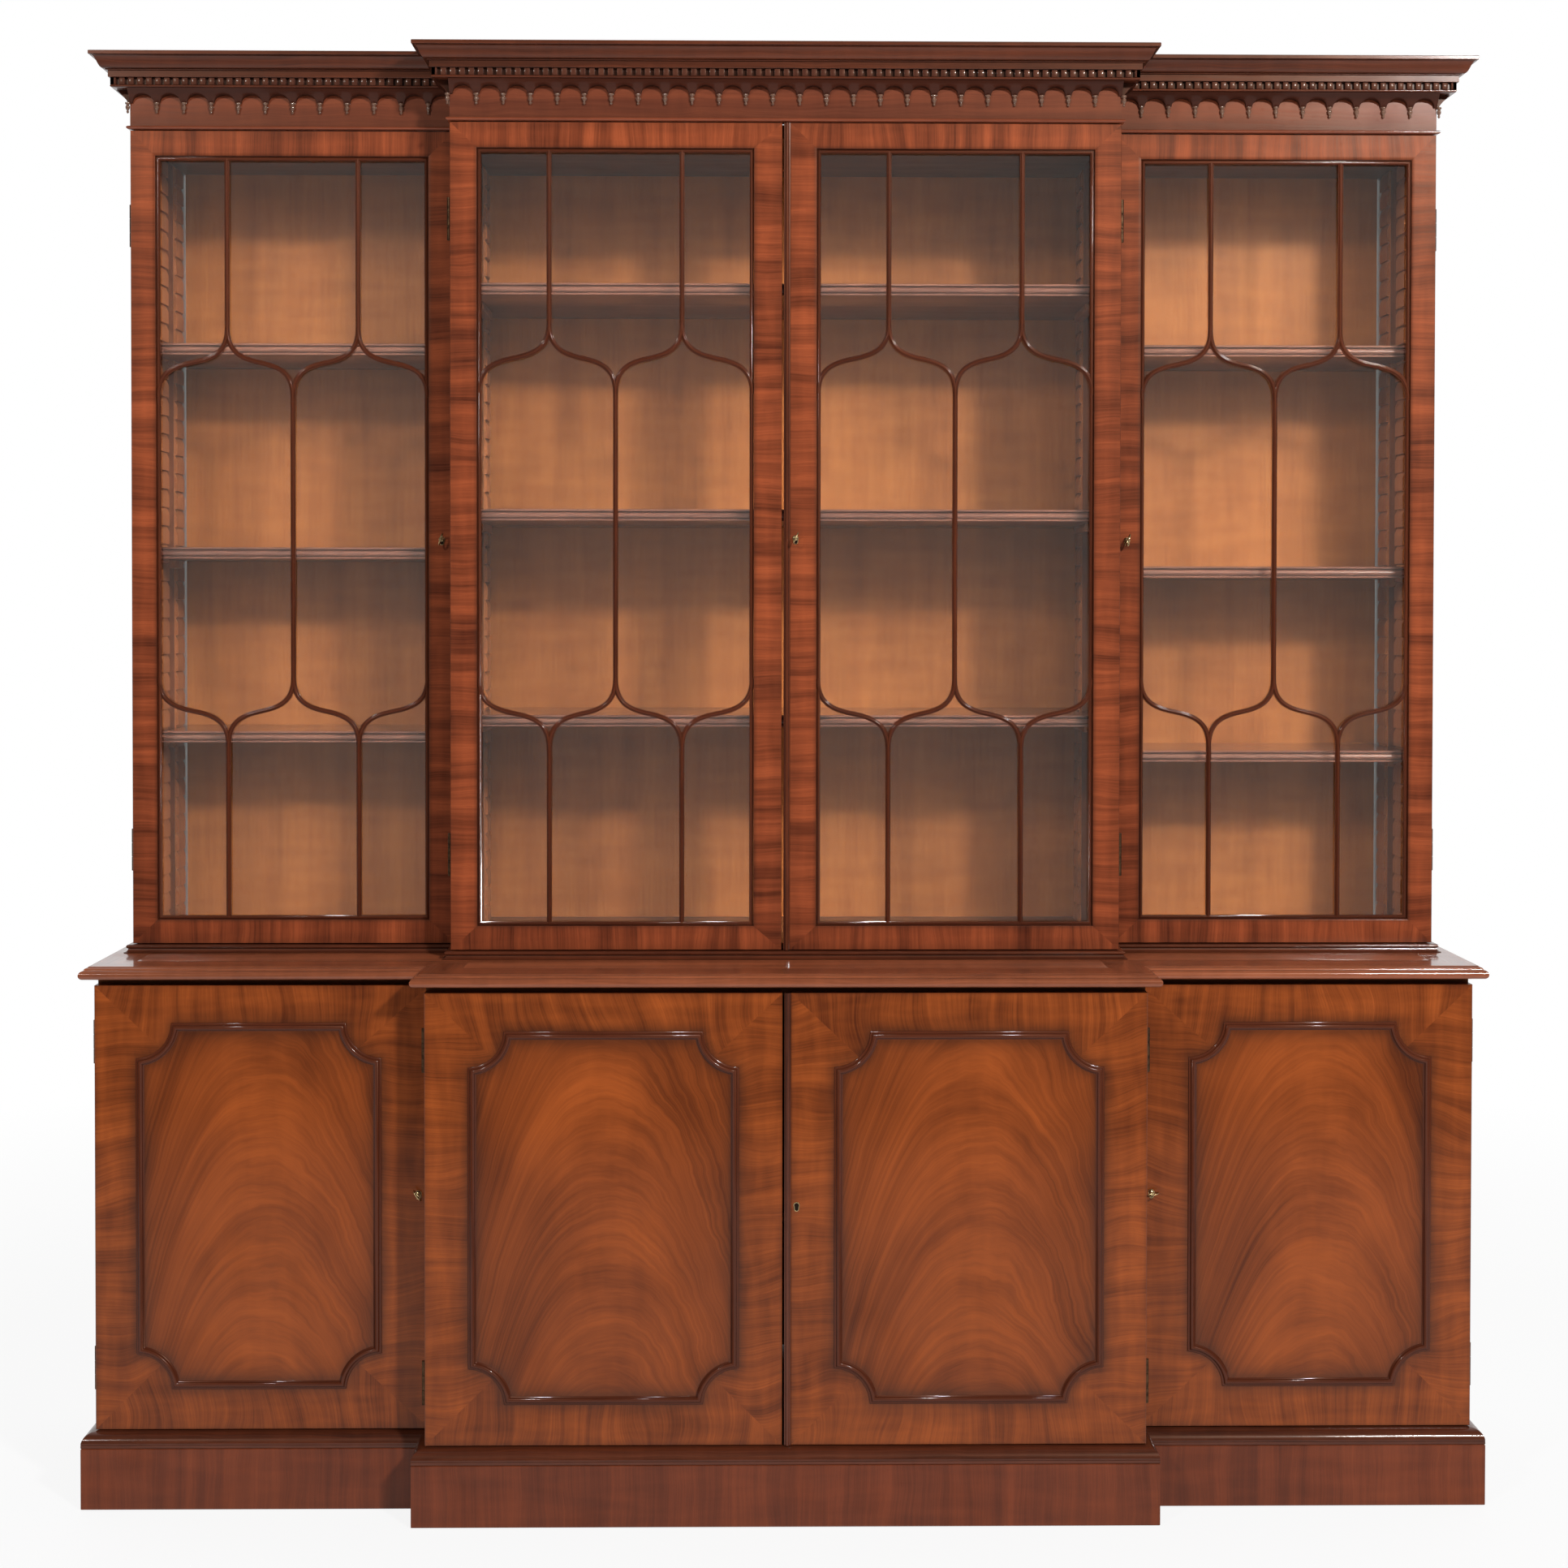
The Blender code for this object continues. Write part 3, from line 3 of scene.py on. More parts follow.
import bmesh
import bpy
import numpy as np
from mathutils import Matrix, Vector


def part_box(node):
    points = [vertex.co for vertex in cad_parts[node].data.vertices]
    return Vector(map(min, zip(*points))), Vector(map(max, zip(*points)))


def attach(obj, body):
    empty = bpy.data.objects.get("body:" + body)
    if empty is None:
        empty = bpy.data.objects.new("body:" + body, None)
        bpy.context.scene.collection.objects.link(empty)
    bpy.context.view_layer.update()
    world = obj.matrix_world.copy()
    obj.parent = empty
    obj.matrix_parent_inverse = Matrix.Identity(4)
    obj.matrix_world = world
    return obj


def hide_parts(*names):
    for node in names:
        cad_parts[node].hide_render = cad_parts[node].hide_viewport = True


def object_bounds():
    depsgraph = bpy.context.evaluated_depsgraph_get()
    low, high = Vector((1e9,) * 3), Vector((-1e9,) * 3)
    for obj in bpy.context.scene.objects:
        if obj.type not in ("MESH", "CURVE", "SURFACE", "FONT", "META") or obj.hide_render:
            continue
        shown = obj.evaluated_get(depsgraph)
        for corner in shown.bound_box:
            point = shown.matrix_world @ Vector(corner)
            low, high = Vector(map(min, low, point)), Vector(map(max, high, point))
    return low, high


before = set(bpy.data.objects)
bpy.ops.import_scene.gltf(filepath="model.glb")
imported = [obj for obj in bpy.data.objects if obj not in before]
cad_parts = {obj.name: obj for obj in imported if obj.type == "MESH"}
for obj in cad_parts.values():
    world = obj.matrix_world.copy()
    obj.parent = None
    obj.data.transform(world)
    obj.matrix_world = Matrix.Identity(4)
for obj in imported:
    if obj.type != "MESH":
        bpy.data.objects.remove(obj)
cadLow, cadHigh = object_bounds()
print("frame loaded")

# Breakfront bookcase. Metres, +Y towards the back. "Out" is forward of the face of a stage.

plan = {
    "lowerCentre": 0.5163,   # half the width of the centre part, lower stage
    "margin": 0.020,         # upper stage narrower at each side
    "step": 0.0766,          # centre forward of the wings
    "boardInset": 0.0223,    # edge of a top board behind the face of the doors
    "wall": 0.022,           # thickness of an upright
    "touch": 0.0003,         # gap between touching pieces
    "ease": 0.0009,          # rounding along a board's edges
    "fineEase": 0.0003,      # rounding of small metal and of dentils
    "leastRound": 0.15,      # share of the rounding that a board's ends keep
    "pinhead": 0.00002,      # radius where a turned profile meets its axis
}

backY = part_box("upper_top_board")[1].y
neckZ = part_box("frieze_board")[0].z
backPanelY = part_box("upper_back_panel")[0].y
chance = np.random.default_rng(11)
sides = (("left", -1), ("right", 1))


def stageOf(name, centre, door):
    # The plan of a stage, read from its boards and from the height of a door.
    boardLow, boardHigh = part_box(name + "_top_board")
    doorLow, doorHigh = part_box(door)
    return {"half": boardHigh.x, "centre": centre, "front": boardLow.y - plan["boardInset"], "low": doorLow.z,
            "high": doorHigh.z, "ceiling": boardLow.z, "floor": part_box(name + "_bottom_board")[1].z}


lowerStage = stageOf("lower", plan["lowerCentre"], "lower_left_centre_door")
upperStage = stageOf("upper", plan["lowerCentre"] - plan["margin"], "upper_left_centre_door_frame")
stages = {"lower": lowerStage, "upper": upperStage}


# shapes from numpy

def elsewhere():
    # A place of its own in the wood, so that no two boards share their grain.
    return chance.uniform(-9, 9, 3)


def ringsOf(flat, axis, level):
    # Points of two coordinates put into space; level fills the third axis.
    rings = np.zeros((*np.broadcast_shapes(flat.shape[:-1], np.shape(level)), 3))
    rings[..., [k for k in range(3) if k != axis]] = flat
    rings[..., axis] = level
    return rings


def ringBlock(rings, grain=None, paintedShade=None, closed=False):
    # Each ring of points is joined to the next; the ends are capped, or joined when the path is closed.
    m, n = rings.shape[:2]
    i, j = np.meshgrid(np.arange(m if closed else m - 1), np.arange(n), indexing="ij")
    k, following = (j + 1) % n, (i + 1) % m
    faces = np.stack([i * n + j, i * n + k, following * n + k, following * n + j], -1).reshape(-1, 4).tolist()
    if not closed:
        faces += [list(range(n))[::-1], list(range((m - 1) * n, m * n))]
    # Painted shade: a share per point of dark brown, standing for shade in recesses and corners.
    paintedShade = np.broadcast_to(0.0 if paintedShade is None else paintedShade, (m, n))
    return rings.reshape(-1, 3), faces, (rings if grain is None else grain).reshape(-1, 3), paintedShade.reshape(-1)


def addPiece(name, blocks, look, body, replaces=None, sharp=38):
    # Joins the blocks into one mesh with its grain and its painted shade, and puts it on a body.
    faces, start = [], 0
    for block in blocks:
        faces += [[v + start for v in face] for face in block[1]]
        start += len(block[0])
    points, grain, paintedShade = (np.concatenate([block[k] for block in blocks]) for k in (0, 2, 3))
    mesh = bpy.data.meshes.new(name)
    mesh.from_pydata(points.tolist(), [], faces)
    for label, kind, field, values in (("grain", "FLOAT_VECTOR", "vector", grain), ("paintedShade", "FLOAT", "value", paintedShade)):
        mesh.attributes.new(label, kind, "POINT").data.foreach_set(field, values.astype(np.float32).ravel())
    bm = bmesh.new()
    bm.from_mesh(mesh)
    bmesh.ops.recalc_face_normals(bm, faces=bm.faces)
    bm.to_mesh(mesh)
    bm.free()
    mesh.shade_smooth()
    mesh.set_sharp_from_angle(angle=math.radians(sharp))
    material, slot = looks[look]
    mesh.materials.append(material)
    item = bpy.data.objects.new(name, mesh)
    bpy.context.scene.collection.objects.link(item)
    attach(item, body)
    if replaces:
        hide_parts(replaces)


def arcPoints(centre, radii, start, end, steps):
    # Points on an ellipse's arc: centre plus radii times cosine and sine, angles in degrees.
    a = np.radians(np.linspace(start, end, steps + 1))
    return np.stack([centre[0] + radii[0] * np.cos(a), centre[1] + radii[1] * np.sin(a)], -1)


def halfRound(out, low, high, deep, steps):
    # Half an ellipse that stands out from the height low to low + high.
    return arcPoints((out - deep, low + high / 2), (deep, high / 2), -90, 90, steps)


def outlineOf(*parts):
    # Strings points and arcs into one outline.
    return np.concatenate([np.atleast_2d(np.asarray(p, float)) for p in parts])


def paintedShadeOn(profile, spots):
    # Painted shade on some points of a profile, where its recesses and creases fall in shade, given as (indexes,
    # strength).
    paintedShade = np.zeros(len(profile))
    for indexes, strength in spots:
        paintedShade[indexes] = strength
    return paintedShade


def lengthAlong(path):
    return np.concatenate([[0], np.cumsum(np.linalg.norm(np.diff(path, axis=0), axis=1))])


def easedEnds(low, high, ease):
    # Stations along a board and how far it is drawn in at each: a quarter circle at both ends.
    turn = np.radians([0, 45, 90])
    along, drawn = ease * (1 - np.cos(turn)), ease * (1 - np.sin(turn))
    return np.concatenate([low + along, high - along[::-1]]), np.concatenate([drawn, drawn[::-1]])


def roundedRings(half, inset, ease):
    # Twelve points round a rectangle: half its size less inset and radius, plus radius times cosine and sine.
    angles = np.radians([quarter * 90 + turn for quarter in range(4) for turn in (0, 45, 90)])
    ways = np.repeat([[1, 1], [-1, 1], [-1, -1], [1, -1]], 3, axis=0)
    inset = inset[:, None, None]
    radius = np.maximum(ease - inset, ease * plan["leastRound"])
    return ways * (half - inset - radius) + radius * np.stack([np.cos(angles), np.sin(angles)], -1)


def boardBlock(one, other, grainAxis, ease=plan["ease"], shift=None):
    # A rounded rectangle between two opposite corners, carried along the longest side and eased at both ends.
    low, high = np.minimum(one, other), np.maximum(one, other)
    size = high - low
    ease = min(ease, size.min() * 0.3)
    length = int(np.argmax(size))
    section = [axis for axis in range(3) if axis != length]
    stations, inset = easedEnds(low[length], high[length], ease)
    flat = roundedRings(size[section] / 2, inset, ease) + (low + high)[section] / 2
    rings = ringsOf(flat, length, stations[:, None])
    across = sorted([axis for axis in range(3) if axis != grainAxis], key=lambda axis: -size[axis])
    return ringBlock(rings, rings[:, :, [grainAxis, *across]] + (elsewhere() if shift is None else shift))


def turnedBlock(profile, centre, sides, axis=2):
    # A profile of (radius, height) turned about an axis; zero radii are drawn as a pinhead.
    profile = np.asarray(profile, float)
    angle = np.linspace(0, 2 * np.pi, sides, endpoint=False)
    radius = np.maximum(profile[:, 0], plan["pinhead"])[:, None, None]
    flat = radius * np.stack([np.cos(angle), np.sin(angle)], -1)
    return ringBlock(ringsOf(flat, axis, profile[:, 1:]) + centre)


def cornersOf(stage):
    # The eight plan corners and where one unit of out leads at each.
    half, centre, front = stage["half"], stage["centre"], stage["front"]
    wing = front + plan["step"]
    corners = np.array([(-half, backY), (-half, wing), (-centre, wing), (-centre, front),
                        (centre, front), (centre, wing), (half, wing), (half, backY)])
    mitres = np.array([(-1, 0), (-1, -1), (-1, -1), (-1, -1), (1, -1), (1, -1), (1, -1), (1, 0)], float)
    return corners, mitres


def runsOf(stage):
    # Each of the seven lengths round a stage: start, direction, outward direction, length and the two mitres.
    corners, mitres = cornersOf(stage)
    for k in range(7):
        span = corners[k + 1] - corners[k]
        long = np.linalg.norm(span)
        along = span / long
        yield corners[k], along, np.array([along[1], -along[0]]), long, mitres[k], mitres[k + 1]


def lengthsRound(stage, profile, lift, paintedShade=None):
    # Seven mitred lengths of a moulding: every profile point (out, height) moves along each corner's mitre.
    around = lengthAlong(profile)
    blocks = []
    for start, way, _, long, first, last in runsOf(stage):
        ends = np.array([start, start + way * long])[:, None]
        flat = ends + profile[:, :1] * np.array([first, last])[:, None]
        along = flat @ way
        grain = np.stack([along, np.broadcast_to(around, along.shape), np.zeros_like(along)], -1)
        blocks.append(ringBlock(ringsOf(flat, 2, profile[:, 1] + lift), grain + elsewhere(), paintedShade))
    return blocks


def barBlock(path, profile, plane, closed=False):
    # A profile of (side, out) carried along a path of (x, z), square to it; out is measured forward of the plane.
    path = np.asarray(path, float)
    ahead = np.roll(path, -1, axis=0) - path
    ahead /= np.linalg.norm(ahead, axis=1)[:, None]
    behind = np.roll(ahead, 1, axis=0)
    if not closed:
        ahead[-1], behind[0] = behind[-1], ahead[0]
    normal = (ahead + behind)[:, ::-1] * [-1, 1]
    normal *= (2 / (normal ** 2).sum(axis=1))[:, None]   # the mitre keeps the bar's width
    rings = ringsOf(path[:, None] + normal[:, None] * profile[:, :1], 1, plane - profile[:, 1])
    grain = np.stack(np.broadcast_arrays(lengthAlong(path)[:, None], profile[:, 0], profile[:, 1]), -1)
    return ringBlock(rings, grain + elsewhere(), closed=closed)


# materials

def fill(tree, node, inputs):
    # Links each input whose value is a socket and sets the others.
    for label, value in inputs.items():
        if isinstance(value, bpy.types.NodeSocket):
            tree.links.new(value, node.inputs[label])
        else:
            node.inputs[label].default_value = value
    return node


def nodeOf(tree, kind, inputs):
    return fill(tree, tree.nodes.new("ShaderNode" + kind), inputs)


def newGroup(name, inputs, outputs):
    # An input's kind follows from its default: none for a vector, four numbers for a colour.
    group = bpy.data.node_groups.new(name, "ShaderNodeTree")
    for label, value in inputs.items():
        kind = "Vector" if value is None else "Color" if isinstance(value, tuple) else "Float"
        socket = group.interface.new_socket(label, in_out="INPUT", socket_type="NodeSocket" + kind)
        if value is not None:
            socket.default_value = value
    for label in outputs:
        kind = "Color" if label == "Color" else "Float"
        group.interface.new_socket(label, in_out="OUTPUT", socket_type="NodeSocket" + kind)
    return group, group.nodes.new("NodeGroupInput"), group.nodes.new("NodeGroupOutput")


def mathNode(tree, operation, *values, clamp=False):
    node = tree.nodes.new("ShaderNodeMath")
    node.operation = operation
    node.use_clamp = clamp
    return fill(tree, node, dict(enumerate(values))).outputs[0]


def sumOf(tree, *terms, clamp=False):
    # The sum of value times weight over the terms.
    parts = [mathNode(tree, "MULTIPLY", value, weight) for value, weight in terms]
    total = parts[0]
    for part in parts[1:]:
        total = mathNode(tree, "ADD", total, part, clamp=clamp and part is parts[-1])
    return total


def vectorNode(tree, operation, *values):
    node = tree.nodes.new("ShaderNodeVectorMath")
    node.operation = operation
    return fill(tree, node, dict(enumerate(values)))


def noiseOf(tree, vector, scale=1.0, detail=2.0, roughness=0.5):
    return nodeOf(tree, "TexNoise", {"Vector": vector, "Scale": scale, "Detail": detail,
                                     "Roughness": roughness}).outputs["Fac"]


def centredNoise(tree, *numbers):
    return mathNode(tree, "SUBTRACT", noiseOf(tree, *numbers), 0.5)


def mixColours(tree, factor, first, second):
    node = tree.nodes.new("ShaderNodeMix")
    node.data_type = "RGBA"
    colours = [(*colour, 1.0) if isinstance(colour, tuple) else colour for colour in (first, second)]
    return fill(tree, node, {0: factor, 6: colours[0], 7: colours[1]}).outputs[2]


def spread(tree, value, low, high, toLow=0.0, toHigh=1.0):
    # Carries low..high to toLow..toHigh and holds it there beyond both ends.
    node = tree.nodes.new("ShaderNodeMapRange")
    node.clamp = True
    return fill(tree, node, {"Value": value, "From Min": low, "From Max": high, "To Min": toLow,
                             "To Max": toHigh}).outputs["Result"]


def bump(tree, shader, height, strength, distance):
    relief = nodeOf(tree, "Bump", {"Strength": strength, "Distance": distance, "Height": height})
    fill(tree, shader, {"Normal": relief.outputs[0]})


grainSizes = {   # stretch, detail and roughness of each noise, and whether it bends
    "bands": ((1.6, 48.0, 30.0), 4.0, 0.55, True), "streaks": ((7.0, 420.0, 300.0), 3.0, 0.6, True),
    "pores": ((45.0, 2300.0, 1500.0), 1.0, 0.5, True), "mottle": ((46.0, 9.0, 9.0), 2.0, 0.5, False),
    "clouds": ((2.4, 3.6, 3.6), 2.0, 0.5, False)}
grainTones = {"bands": (0.34, 0.68), "mottle": (0.35, 0.7), "streaks": (0.3, 0.72), "pores": (0.60, 0.72)}
grainShares = {"streaks": 0.28, "clouds": 0.45, "pores": 0.38, "ridge": 0.4, "pit": -0.5,
               "rough": (0.3, 0.7, 0.30, 0.42)}


def makeGrainGroup():
    # Straight grain: noise drawn out along the first coordinate, with the second bent by a slow noise.
    tree, start, end = newGroup("mahoganyGrain", {
        "Vector": None, "Light": (0.3, 0.1, 0.04, 1), "Dark": (0.1, 0.03, 0.015, 1), "Figure": 0.5, "Mottle": 0.3,
        "Bend": 0.024, "Bend Scale": 7.0}, ("Color", "Roughness", "Height"))
    given = start.outputs
    shift = mathNode(tree, "MULTIPLY", centredNoise(tree, given["Vector"], given["Bend Scale"]), given["Bend"])
    parts = nodeOf(tree, "SeparateXYZ", {0: given["Vector"]}).outputs
    bent = nodeOf(tree, "CombineXYZ", {0: parts[0], 1: mathNode(tree, "ADD", parts[1], shift), 2: parts[2]})
    noise = {}
    for name, (stretch, detail, roughness, bends) in grainSizes.items():
        place = vectorNode(tree, "MULTIPLY", bent.outputs[0] if bends else given["Vector"], stretch)
        noise[name] = noiseOf(tree, place.outputs[0], 1.0, detail, roughness)
    mask = {name: spread(tree, noise[name], low, high) for name, (low, high) in grainTones.items()}
    clouds, pores = mathNode(tree, "SUBTRACT", noise["clouds"], 0.5), mask["pores"]
    tone = sumOf(tree, (mask["bands"], given["Figure"]), (mask["mottle"], given["Mottle"]),
                 (mask["streaks"], grainShares["streaks"]), (clouds, grainShares["clouds"]), clamp=True)
    colour = mixColours(tree, tone, given["Dark"], given["Light"])
    colour = mixColours(tree, mathNode(tree, "MULTIPLY", pores, grainShares["pores"]), colour, given["Dark"])
    fill(tree, end, {"Color": colour, "Roughness": spread(tree, noise["streaks"], *grainShares["rough"]),
                     "Height": sumOf(tree, (noise["streaks"], grainShares["ridge"]), (pores, grainShares["pit"]))})
    return tree


flameSizes = {   # stretch along and across an arch, detail and roughness of each noise
    "bands": (13.0, 3.0, 4.0, 0.55), "lines": (75.0, 7.0, 3.0, 0.6), "fibres": (420.0, 24.0, 2.0, 0.6),
    "barbs": (5.0, 21.0, 3.0, 0.55)}
flameTones = {   # range of each noise and its share of the tone
    "bands": (0.34, 0.68, 0.28), "lines": (0.36, 0.68, 0.22), "fibres": (0.3, 0.72, 0.13), "clouds": (0.38, 0.64, 0.20)}
flame = {"halfWidth": 0.165, "fall": 0.26, "power": 2.3, "warp": 3.1, "warpReach": 0.100, "curl": 13.0,
         "curlReach": 0.032, "sideways": 0.5, "glow": (0.03, 0.15), "barbGlow": (0.30, 0.70, 0.13, 0.33),
         "clouds": 5.0, "rough": (0.3, 0.7, 0.28, 0.40), "ridge": 0.4}


def makeFlameGroup():
    # Crotch figure: height plus a steep power of the width is constant along arches that fall to both sides.
    tree, start, end = newGroup("flameFigure", {"Vector": None, "Light": (0.4, 0.14, 0.04, 1),
                                                "Dark": (0.12, 0.035, 0.015, 1)}, ("Color", "Roughness", "Height"))
    vector = start.outputs["Vector"]
    parts = nodeOf(tree, "SeparateXYZ", {0: vector}).outputs
    shift = sumOf(tree, (centredNoise(tree, vector, flame["warp"]), flame["warpReach"]),
                  (centredNoise(tree, vector, flame["curl"], 3.0, 0.55), flame["curlReach"]))
    wide = mathNode(tree, "ADD", parts[0], mathNode(tree, "MULTIPLY", shift, flame["sideways"]))
    aside = mathNode(tree, "ABSOLUTE", wide)
    share = mathNode(tree, "DIVIDE", aside, flame["halfWidth"])
    fall = mathNode(tree, "MULTIPLY", mathNode(tree, "POWER", share, flame["power"]), flame["fall"])
    level = mathNode(tree, "ADD", mathNode(tree, "ADD", parts[1], fall), shift)
    noise = {}
    for name, (along, across, detail, roughness) in flameSizes.items():
        place = nodeOf(tree, "CombineXYZ", {0: mathNode(tree, "MULTIPLY", level, along),
                                            1: mathNode(tree, "MULTIPLY", wide, across), 2: parts[2]})
        noise[name] = noiseOf(tree, place.outputs[0], 1.0, detail, roughness)
    noise["clouds"] = noiseOf(tree, vector, flame["clouds"])
    terms = [(spread(tree, noise[name], low, high), share) for name, (low, high, share) in flameTones.items()]
    glow = spread(tree, aside, *flame["glow"], 1.0, 0.0)
    tone = sumOf(tree, *terms, (glow, spread(tree, noise["barbs"], *flame["barbGlow"])), clamp=True)
    fill(tree, end, {"Color": mixColours(tree, tone, start.outputs["Dark"], start.outputs["Light"]),
                     "Roughness": spread(tree, noise["fibres"], *flame["rough"]),
                     "Height": mathNode(tree, "MULTIPLY", noise["fibres"], flame["ridge"])})
    return tree


def makeWearGroup():
    # Fine scratches and finger marks in the polish: a mask that lifts the roughness a little.
    tree, start, end = newGroup("polishWear", {"Vector": None}, ("Wear",))
    blotch = noiseOf(tree, start.outputs[0], 9.0, 4.0, 0.6)
    specks = noiseOf(tree, start.outputs[0], 160.0, 2.0, 0.7)
    wear = mathNode(tree, "ADD", spread(tree, blotch, 0.5, 0.75, 0.0, 0.7), spread(tree, specks, 0.62, 0.72, 0.0, 0.5),
                    clamp=True)
    fill(tree, end, {0: wear})
    return tree


grainGroup = makeGrainGroup()
flameGroup = makeFlameGroup()
wearGroup = makeWearGroup()

# In polish, the dark brown and its share are painted shade, mixed into recesses and corners; the rest sets the polish's
# gloss and wear.
polish = {"paintedShade": (0.022, 0.009, 0.006), "paintedShadeShare": 0.82, "wornRough": 0.12, "wornCoat": 0.35, "coatRough": 0.09,
          "specular": 0.16, "tint": (1.0, 0.60, 0.40, 1), "bump": (0.05, 0.0004)}
looks = {}   # name of a look: its material and the slot of its pieces


def newLook(name, slot=None):
    material = bpy.data.materials.new(name)
    material.use_nodes = True
    looks[name] = material, slot
    tree = material.node_tree
    return tree, tree.nodes["Principled BSDF"], tree.nodes.new("ShaderNodeTexCoord").outputs["Object"]


def groupNode(tree, group, inputs):
    node = tree.nodes.new("ShaderNodeGroup")
    node.node_tree = group
    return fill(tree, node, inputs)


def attributeNode(tree, name):
    node = tree.nodes.new("ShaderNodeAttribute")
    node.attribute_name = name
    return node


def woodLook(name, slot, light, dark, figure, mottle, coat, bend=0.024, bendScale=7.0, flamed=False, turn=None):
    # Mahogany under polish; it reads the piece's grain attribute, or Object coordinates when a turn is given.
    tree, shader, place = newLook(name, slot)
    if turn is None:
        vector = attributeNode(tree, "grain").outputs["Vector"]
    else:
        vector = nodeOf(tree, "Mapping", {"Rotation": turn, "Vector": place}).outputs[0]
    inputs = {"Light": (*light, 1), "Dark": (*dark, 1), "Vector": vector}
    if not flamed:
        inputs.update({"Figure": figure, "Mottle": mottle, "Bend": bend, "Bend Scale": bendScale})
    wood = groupNode(tree, flameGroup if flamed else grainGroup, inputs).outputs
    colour = wood["Color"]
    if turn is None:
        # Painted shade: the piece's per-point attribute mixes a dark brown into its recesses and corners.
        mask = mathNode(tree, "MULTIPLY", attributeNode(tree, "paintedShade").outputs["Fac"], polish["paintedShadeShare"])
        colour = mixColours(tree, mask, colour, polish["paintedShade"])
    wear = groupNode(tree, wearGroup, {0: place}).outputs[0]
    kept = mathNode(tree, "SUBTRACT", 1.0, mathNode(tree, "MULTIPLY", wear, polish["wornCoat"]))
    rough = mathNode(tree, "ADD", wood["Roughness"], mathNode(tree, "MULTIPLY", wear, polish["wornRough"]))
    fill(tree, shader, {"Base Color": colour, "Roughness": rough, "Coat Weight": mathNode(tree, "MULTIPLY", kept, coat),
                        "Coat Roughness": polish["coatRough"], "Specular IOR Level": polish["specular"],
                        "Specular Tint": polish["tint"]})
    bump(tree, shader, wood["Height"], *polish["bump"])


def metalLook(name, slot, colour, dull, roughness):
    # Metal with tarnish: a noise mixes a duller tone in and roughens it.
    tree, shader, place = newLook(name, slot)
    tarnish = noiseOf(tree, place, 120.0, 4.0, 0.65)
    fill(tree, shader, {"Base Color": mixColours(tree, spread(tree, tarnish, 0.42, 0.68), colour, dull),
                        "Roughness": spread(tree, tarnish, 0.4, 0.7, roughness, roughness + 0.22), "Metallic": 1.0})
    bump(tree, shader, tarnish, 0.08, 0.0002)


def glassLook():
    # Old sheet glass: clear, faintly green, with a slow wave; it lets shadow rays through.
    tree, shader, place = newLook("sheetGlass")
    fill(tree, shader, {"Base Color": (0.93, 0.96, 0.94, 1), "Roughness": 0.0, "IOR": 1.45, "Transmission Weight": 1.0})
    bump(tree, shader, noiseOf(tree, place, 7.0, 1.0), 0.04, 0.002)
    clear = nodeOf(tree, "BsdfTransparent", {0: (0.9, 0.92, 0.91, 1)})
    rays = tree.nodes.new("ShaderNodeLightPath")
    mix = nodeOf(tree, "MixShader", {0: rays.outputs["Is Shadow Ray"], 1: shader.outputs[0], 2: clear.outputs[0]})
    fill(tree, tree.nodes["Material Output"], {0: mix.outputs[0]})


caseSlot, flameSlot, mouldingSlot = "case_mahogany", "flame_mahogany", "moulding_mahogany"
woodLook("crossbandedMahogany", caseSlot, (0.36, 0.078, 0.026), (0.065, 0.013, 0.006), 0.62, 0.16, 0.4)
woodLook("borderMahogany", flameSlot, (0.37, 0.082, 0.014), (0.080, 0.015, 0.004), 0.42, 0.24, 0.35, 0.16, 3.2)
woodLook("flameMahogany", flameSlot, (0.35, 0.076, 0.013), (0.052, 0.009, 0.003), 0, 0, 0.35, flamed=True)
woodLook("mouldingMahogany", mouldingSlot, (0.15, 0.034, 0.013), (0.034, 0.009, 0.005), 0.45, 0.12, 0.5)
woodLook("friezeMahogany", mouldingSlot, (0.27, 0.064, 0.026), (0.110, 0.025, 0.012), 0.5, 0.15, 0.9)
woodLook("dentilMahogany", mouldingSlot, (0.105, 0.034, 0.019), (0.040, 0.012, 0.008), 0.4, 0.1, 0.15)
woodLook("waistMahogany", mouldingSlot, (0.34, 0.094, 0.038), (0.12, 0.030, 0.012), 0.50, 0.15, 0.8)
# Upper shelves: mahogany made lighter and greyer than the mouldings, wood colour plus a painted sheen on their front
# edges.
woodLook("shelfMahoganyAndSheen", mouldingSlot, (0.20, 0.072, 0.044), (0.08, 0.026, 0.017), 0.45, 0.12, 0.9)
woodLook("panelBeadMahogany", mouldingSlot, (0.110, 0.024, 0.009), (0.048, 0.011, 0.005), 0.4, 0.1, 0.30)
woodLook("pendantMahogany", mouldingSlot, (0.23, 0.125, 0.082), (0.09, 0.043, 0.028), 0.4, 0.1, 1.0)
woodLook("arcadeMahogany", mouldingSlot, (0.075, 0.018, 0.009), (0.030, 0.008, 0.005), 0.4, 0.1, 0.2)
woodLook("caseMahogany", caseSlot, (0.16, 0.036, 0.014), (0.055, 0.013, 0.006), 0.5, 0.2, 0.4)
woodLook("plinthMahogany", caseSlot, (0.20, 0.042, 0.014), (0.080, 0.017, 0.007), 0.5, 0.25, 0.35)
woodLook("insideMahogany", "inside_mahogany", (0.34, 0.110, 0.038), (0.19, 0.055, 0.020), 0.5, 0.2, 0.1)
woodLook("backMahogany", None, (0.39, 0.128, 0.036), (0.22, 0.062, 0.017), 0.45, 0.3, 0.1, turn=(0, math.pi / 2, 0))
woodLook("dustBoardMahogany", None, (0.20, 0.070, 0.028), (0.10, 0.033, 0.013), 0.5, 0.2, 0.05, turn=(0, 0, 0))
